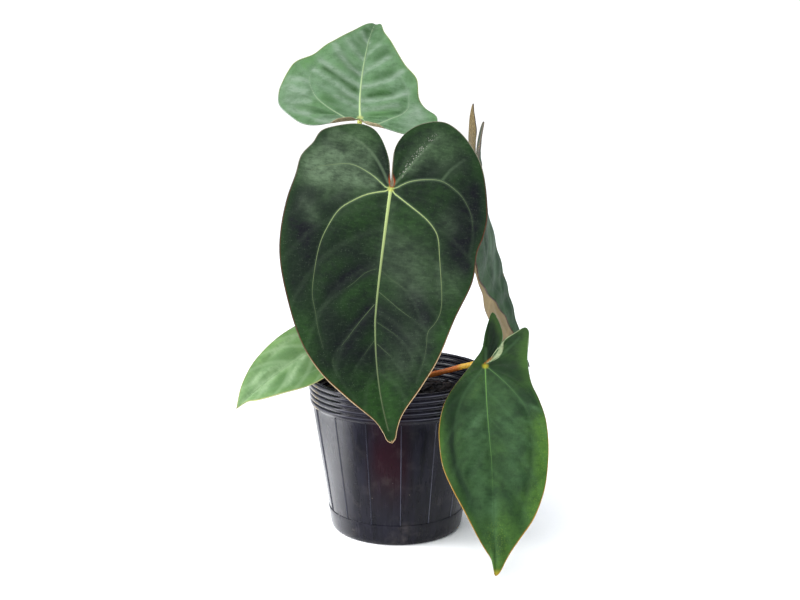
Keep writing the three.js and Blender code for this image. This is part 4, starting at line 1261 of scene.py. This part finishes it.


# How each blade looks on a screen, one colour for each of the names below. The vein tone is for
# veins where they are yellow, and the edge is of the start tone near the junction. The dark tone
# is both the leaf's own dark mottling and painted shade, and the pale tone both pale tissue and
# painted sheen.
TONE_NAMES = ("main", "dusk", "bloom", "fresh", "vein", "junction", "edge_start", "edge", "under")
TONES = {
    "front": [
        (33, 49, 33), (23, 25, 31), (124, 148, 116), (46, 80, 36), (204, 224, 146), (206, 208, 96),
        (190, 72, 24), (226, 200, 150), (140, 128, 98)],
    "top": [
        (108, 143, 106), (52, 92, 44), (150, 172, 150), (90, 142, 74), (206, 234, 164),
        (200, 206, 120), (150, 130, 96), (150, 180, 96), (176, 164, 124)],
    "right": [
        (66, 96, 66), (38, 60, 42), (128, 152, 128), (76, 114, 66), (164, 190, 136), (170, 160, 90),
        (110, 70, 44), (76, 50, 34), (144, 125, 80)],
    "low": [
        (38, 68, 36), (22, 42, 24), (80, 117, 76), (78, 119, 46), (136, 194, 98), (222, 206, 50),
        (206, 130, 50), (204, 160, 66), (204, 220, 170)],
    "left": [
        (98, 134, 82), (74, 114, 60), (150, 178, 136), (108, 150, 76), (180, 210, 152),
        (190, 190, 110), (180, 160, 100), (184, 190, 124), (146, 166, 112)],
}
PALE_EDGE = {"right": (84, 70, 62), "front": (132, 128, 108)}
GOLD_FROM = {"front": 9.4}
USUAL_GOLD_FROM = LOBE_VEINS + 0.8
DARK_EDGE = (62, 50, 42)
PALE_TIPS = {"front": (1.8, (214, 196, 150)), "low": (4.6, (184, 170, 46))}
FRESH_DOTS = {"low": (136, 168, 62)}
DUST = (214, 212, 200)
NET_SCALE = 340
STUDIO_LIGHT = 1.6
BLADE_GLOSS = {"front": 0.05, "top": 0.1, "right": 0.06, "low": 0.1, "left": 0.14}
FIBROUS = {"front": 0.2, "top": 0.2, "right": 0.2, "low": 0.1, "left": 0.2}
BAND_SHOW = {"front": 0.05, "top": 0.12, "right": 0.14, "low": 0.12, "left": 0.3}


def dimmed(tone, factor):
    return [min(1, value * factor) for value in tone[:3]] + [1]


def leaf_tone(tone):
    """A tone as it looks in the studio's light, as a colour of the leaf itself."""
    return dimmed(shade(*tone), 1 / STUDIO_LIGHT)


def blade_skin(finish, name, tone_name, **sockets):
    """A blade's skin of one finish, its tones by their names, and its flat places."""
    tones = {key: leaf_tone(tone) for key, tone in zip(TONE_NAMES, TONES[name])}
    skin = Skin(f"{finish}_{name}", tones[tone_name], **sockets)
    return skin, tones, skin.node("ShaderNodeUVMap", uv_map="flat")


def net_lines(skin, flat):
    """How far places lie from the lines of the net of the finest veins."""
    cells = {"Vector": flat, "Scale": NET_SCALE}
    return skin.node("ShaderNodeTexVoronoi", cells, "Distance", feature="DISTANCE_TO_EDGE")


def velvet(name):
    """The velvety upper face: its patches, clouds, fine streaks and net, and its veins."""
    sockets = {"Specular_IOR_Level": BLADE_GLOSS[name], "Sheen_Weight": 0.015}
    skin, tones, flat = blade_skin("velvet", name, "main", **sockets)
    bloom = tones["bloom"]
    cloudy = skin.clouds(flat, 55, 3, 0.55, 0.3)
    mottled = skin.clouds(flat.stretched(1, 1, 1, shift=(0.31, 0.17, 0)), 170, 5, 0.65)
    streaks = skin.clouds(flat.stretched(0.38, 1, 1), 640, 4, 0.7)
    skin.paint(cloudy.spread(0.35, 0.65, 0, 0.35), tones["fresh"])
    skin.paint(mottled.spread(0.58, 0.34, 0, 0.5), tones["dusk"])
    ragged = (cloudy + mottled).spread(0.7, 1.25, 0.5, 1.4)
    ragged *= streaks.spread(0.32, 0.68, 1 - FIBROUS[name], 1 + FIBROUS[name])
    # The patches: fresh and dark mottling of the leaf itself, with painted shade among the dark
    # ones and painted sheen among the pale ones.
    for key in ("fresh", "dusk", "bloom"):
        skin.paint((skin.attribute(key) * ragged).math("MINIMUM", 1), tones[key])
    if name in FRESH_DOTS:
        among_fresh = skin.attribute("fresh").spread(0.25, 0.8, 0, 0.26)
        skin.paint(skin.specks(flat, 1250, 0.5, 0.5) * among_fresh, leaf_tone(FRESH_DOTS[name]))
    edge_gap, side_vein = skin.attribute("edge_gap"), skin.attribute("side_vein")
    skin.paint(edge_gap.spread(7, 0.8, 0, 0.3), tones["fresh"])
    skin.paint(streaks.spread(0.5, 0.75, 0, 0.09), bloom)
    skin.paint(streaks.spread(0.5, 0.26, 0, 0.24), tones["dusk"])

    gap = abs((side_vein + 0.5).math("FRACT") - 0.5) * skin.attribute("side_vein_pitch")
    past_lobe = side_vein.spread(LOBE_VEINS - 0.5, LOBE_VEINS + 2.5)
    skin.paint(gap.spread(3, 0.3, 0, BAND_SHOW[name]) * past_lobe, bloom)
    net = net_lines(skin, flat).spread(0.09, 0.02)
    skin.paint(net * 0.02, bloom)
    from_junction = skin.node("ShaderNodeVectorMath", {0: flat}, "Value", operation="LENGTH")
    beside_vein = skin.attribute("vein_gap").spread(1.4, 0.3)
    skin.paint(beside_vein * from_junction.spread(0.055, 0.01, 0.05, 0.38), bloom)
    yellow = skin.attribute("yellow").spread(0, 1, 0.3, 1)
    skin.paint(skin.attribute("vein"), skin.blend(yellow, bloom, tones["vein"]))
    skin.paint(from_junction.spread(0.0026, 0.0007, 0, 0.75), tones["junction"])

    lip_tone = skin.blend(streaks.spread(0.35, 0.65, 0, 0.25), tones["under"], bloom)
    skin.paint(skin.attribute("lip"), lip_tone)
    skin.paint(skin.attribute("blush") * 0.85, tones["edge_start"])
    tip_tone = leaf_tone(PALE_TIPS[name][1]) if name in PALE_TIPS else tones["edge"]
    skin.paint(skin.attribute("tip").spread(0, 0.7, 0, 0.75), tip_tone)
    at_edge = side_vein.spread(4, 6.5) * edge_gap.spread(1, 0.6, 0, 0.5)
    skin.paint(at_edge, dimmed(tones["edge_start"], 0.5))
    skin.paint(skin.specks(flat, 1050, 0.36, 0.22) * 0.16, bloom)
    dust = skin.specks(flat, 260, 0.07, 0.05)
    if name in DUST_COURSE:
        grains = skin.specks(flat, 1300, 0.36, 0.75) * skin.attribute("dusty")
        dust = dust.math("MAXIMUM", grains)
    skin.paint(dust, leaf_tone(DUST))
    skin.feed("Roughness", streaks.spread(0.3, 0.7, 0.44, 0.6))
    return skin.done(skin.clouds(flat, 1500, 2) * 0.5 + streaks - net * 0.12, 0.4, 0.0006)


def underside(name):
    """The paler, smoother underside, with its net and its veins."""
    sockets = {"Roughness": 0.55, "Specular_IOR_Level": 0.3}
    skin, tones, flat = blade_skin("underside", name, "under", **sockets)
    darker, lighter = dimmed(tones["under"], 0.62), dimmed(tones["under"], 1.4)
    streaks = skin.clouds(flat.stretched(0.25, 1, 1), 500, 3, 0.6)
    skin.paint(skin.clouds(flat, 50, 4).spread(0.35, 0.7, 0, 0.5), darker)
    skin.paint(skin.attribute("shaded"), tones["dusk"])
    off_line = abs(skin.attribute("side_vein").math("FRACT") - 0.5)
    skin.paint(off_line.spread(0.42, 0.49, 0, 0.4), lighter)
    net = net_lines(skin, flat).spread(0.1, 0.02, 0, 0.25)
    skin.paint(net, darker)
    skin.paint(skin.attribute("vein") * 0.8, lighter)
    return skin.done(streaks + net, 0.3, 0.0005)


def golden_edge(name):
    """The thin edge: redder at the junction, pale along the lobe and golden further out."""
    sockets = {"Roughness": 0.5, "Specular_IOR_Level": 0.3}
    skin, tones, flat = blade_skin("edge", name, "edge_start", **sockets)
    number, worn = skin.attribute("side_vein"), skin.clouds(flat, 240)
    pale = leaf_tone(PALE_EDGE[name]) if name in PALE_EDGE else tones["bloom"]
    skin.paint(number.spread(0.15, 0.5), pale)
    if name in GOLD_FROM:
        skin.paint(number.spread(4.2, 5.4, 0, 0.9), leaf_tone(DARK_EDGE))
    gold_from = GOLD_FROM.get(name, USUAL_GOLD_FROM)
    skin.paint((number + worn).spread(gold_from - 0.5, gold_from + 1.4), tones["edge"])
    skin.paint(worn.spread(0.5, 0.75, 0, 0.5), tones["under"])
    return skin.done(worn, 0.2, 0.0004)


for name, leaf in LEAVES.items():
    blade = make_blade(name, leaf, [velvet(name), underside(name), golden_edge(name)])
    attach(blade, "root")
    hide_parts(f"blade_{name}")


# The floor is a plain white sweep of studio paper, wide enough to fill every view. It lies flat
# under the pot and isn't fixed to it.
FLOOR_SIZE = 3.2


def white_floor():
    tone = shade(246, 247, 250)
    skin = Skin("white_floor", tone, Roughness=0.9, Specular_IOR_Level=0.1)
    skin.paint(skin.clouds(skin.place(), 400), shade(252, 252, 253))
    skin.feed("Base Color", skin.colour)
    return skin.material


select_only()
bpy.ops.mesh.primitive_plane_add(size=FLOOR_SIZE, location=(0, 0, 0))
floor = bpy.context.object
floor.name = "floor"
floor.data.materials.append(white_floor())


# Soft studio light: a broad soft source high at the left, a tall panel and a small low one at
# the left that the pot shines with, a panel above the top leaf, a narrow strip in front, and a
# dim surround that is white where it is seen.
SUN_DIRECTION = (-0.42, -0.55, 0.72)
SUN_SPREAD = 60
SUN_STRENGTH = 2.1
SURROUND_TONE = (0.86, 0.92, 1, 1)
SURROUND_STRENGTH = 0.55
SEEN_STRENGTH = 1.15

# Each panel: its place and the place that it faces, its width and height, its watts and how
# wide its light spreads, in degrees.
PANELS_OF_LIGHT = {
    "left_panel": ((-1.3, -0.3, 0.5), (0, 0, 0.08), (0.45, 1.2), 16, 180),
    "top_panel": ((0, 0.35, 1.5), (0, 0, 0.1), (1.2, 1), 14, 180),
    "low_left_panel": ((-0.33, -0.03, 0.15), (-0.22, -0.02, 0), (0.12, 0.3), 0.38, 60),
    "front_strip": ((0, -0.55, 0.95), (0, 0, 0.09), (1.4, 0.045), 1.8, 180),
}


def lamp(name, kind, place, target, energy):
    data = bpy.data.lights.new(name, kind)
    data.energy = energy
    made = bpy.data.objects.new(name, data)
    made.location = place
    made.rotation_euler = (Vector(target) - Vector(place)).to_track_quat("-Z", "Y").to_euler()
    bpy.context.collection.objects.link(made)
    return data


sun = lamp("soft_key", "SUN", SUN_DIRECTION, (0, 0, 0), SUN_STRENGTH)
sun.angle = math.radians(SUN_SPREAD)
for name, (place, target, size, watts, spread) in PANELS_OF_LIGHT.items():
    panel = lamp(name, "AREA", place, target, watts)
    panel.shape = "RECTANGLE"
    panel.size, panel.size_y = size
    panel.spread = math.radians(spread)

world = bpy.data.worlds.new("white_surround")
bpy.context.scene.world = world
world.use_nodes = True
surround = world.node_tree
dim = surround.nodes["Background"]
dim.inputs["Color"].default_value = SURROUND_TONE
dim.inputs["Strength"].default_value = SURROUND_STRENGTH
white = {"Color": (1, 1, 1, 1), "Strength": SEEN_STRENGTH}
seen = add_node(surround, "ShaderNodeBackground", white)
in_view = add_node(surround, "ShaderNodeLightPath", output="Is Camera Ray")
mixed = add_node(surround, "ShaderNodeMixShader", {0: in_view, 1: Field(dim.outputs[0]), 2: seen})
surround.links.new(mixed.socket, surround.nodes["World Output"].inputs["Surface"])
bpy.context.scene.view_settings.view_transform = "Standard"


# The camera stands in front of the largest leaf, a little above the plant, and looks slightly
# down on it.
CAMERA_PLACE = (2.2 * MM, -850 * MM, 324 * MM)
CAMERA_PITCH = 12.37
CAMERA_LENS = 66.87
SENSOR_WIDTH = 36

camera_data = bpy.data.cameras.new("studio_camera")
camera_data.lens = CAMERA_LENS
camera_data.sensor_width = SENSOR_WIDTH
camera = bpy.data.objects.new("studio_camera", camera_data)
camera.location = CAMERA_PLACE
camera.rotation_euler = (math.radians(90 - CAMERA_PITCH), 0, 0)
bpy.context.collection.objects.link(camera)
bpy.context.scene.camera = camera
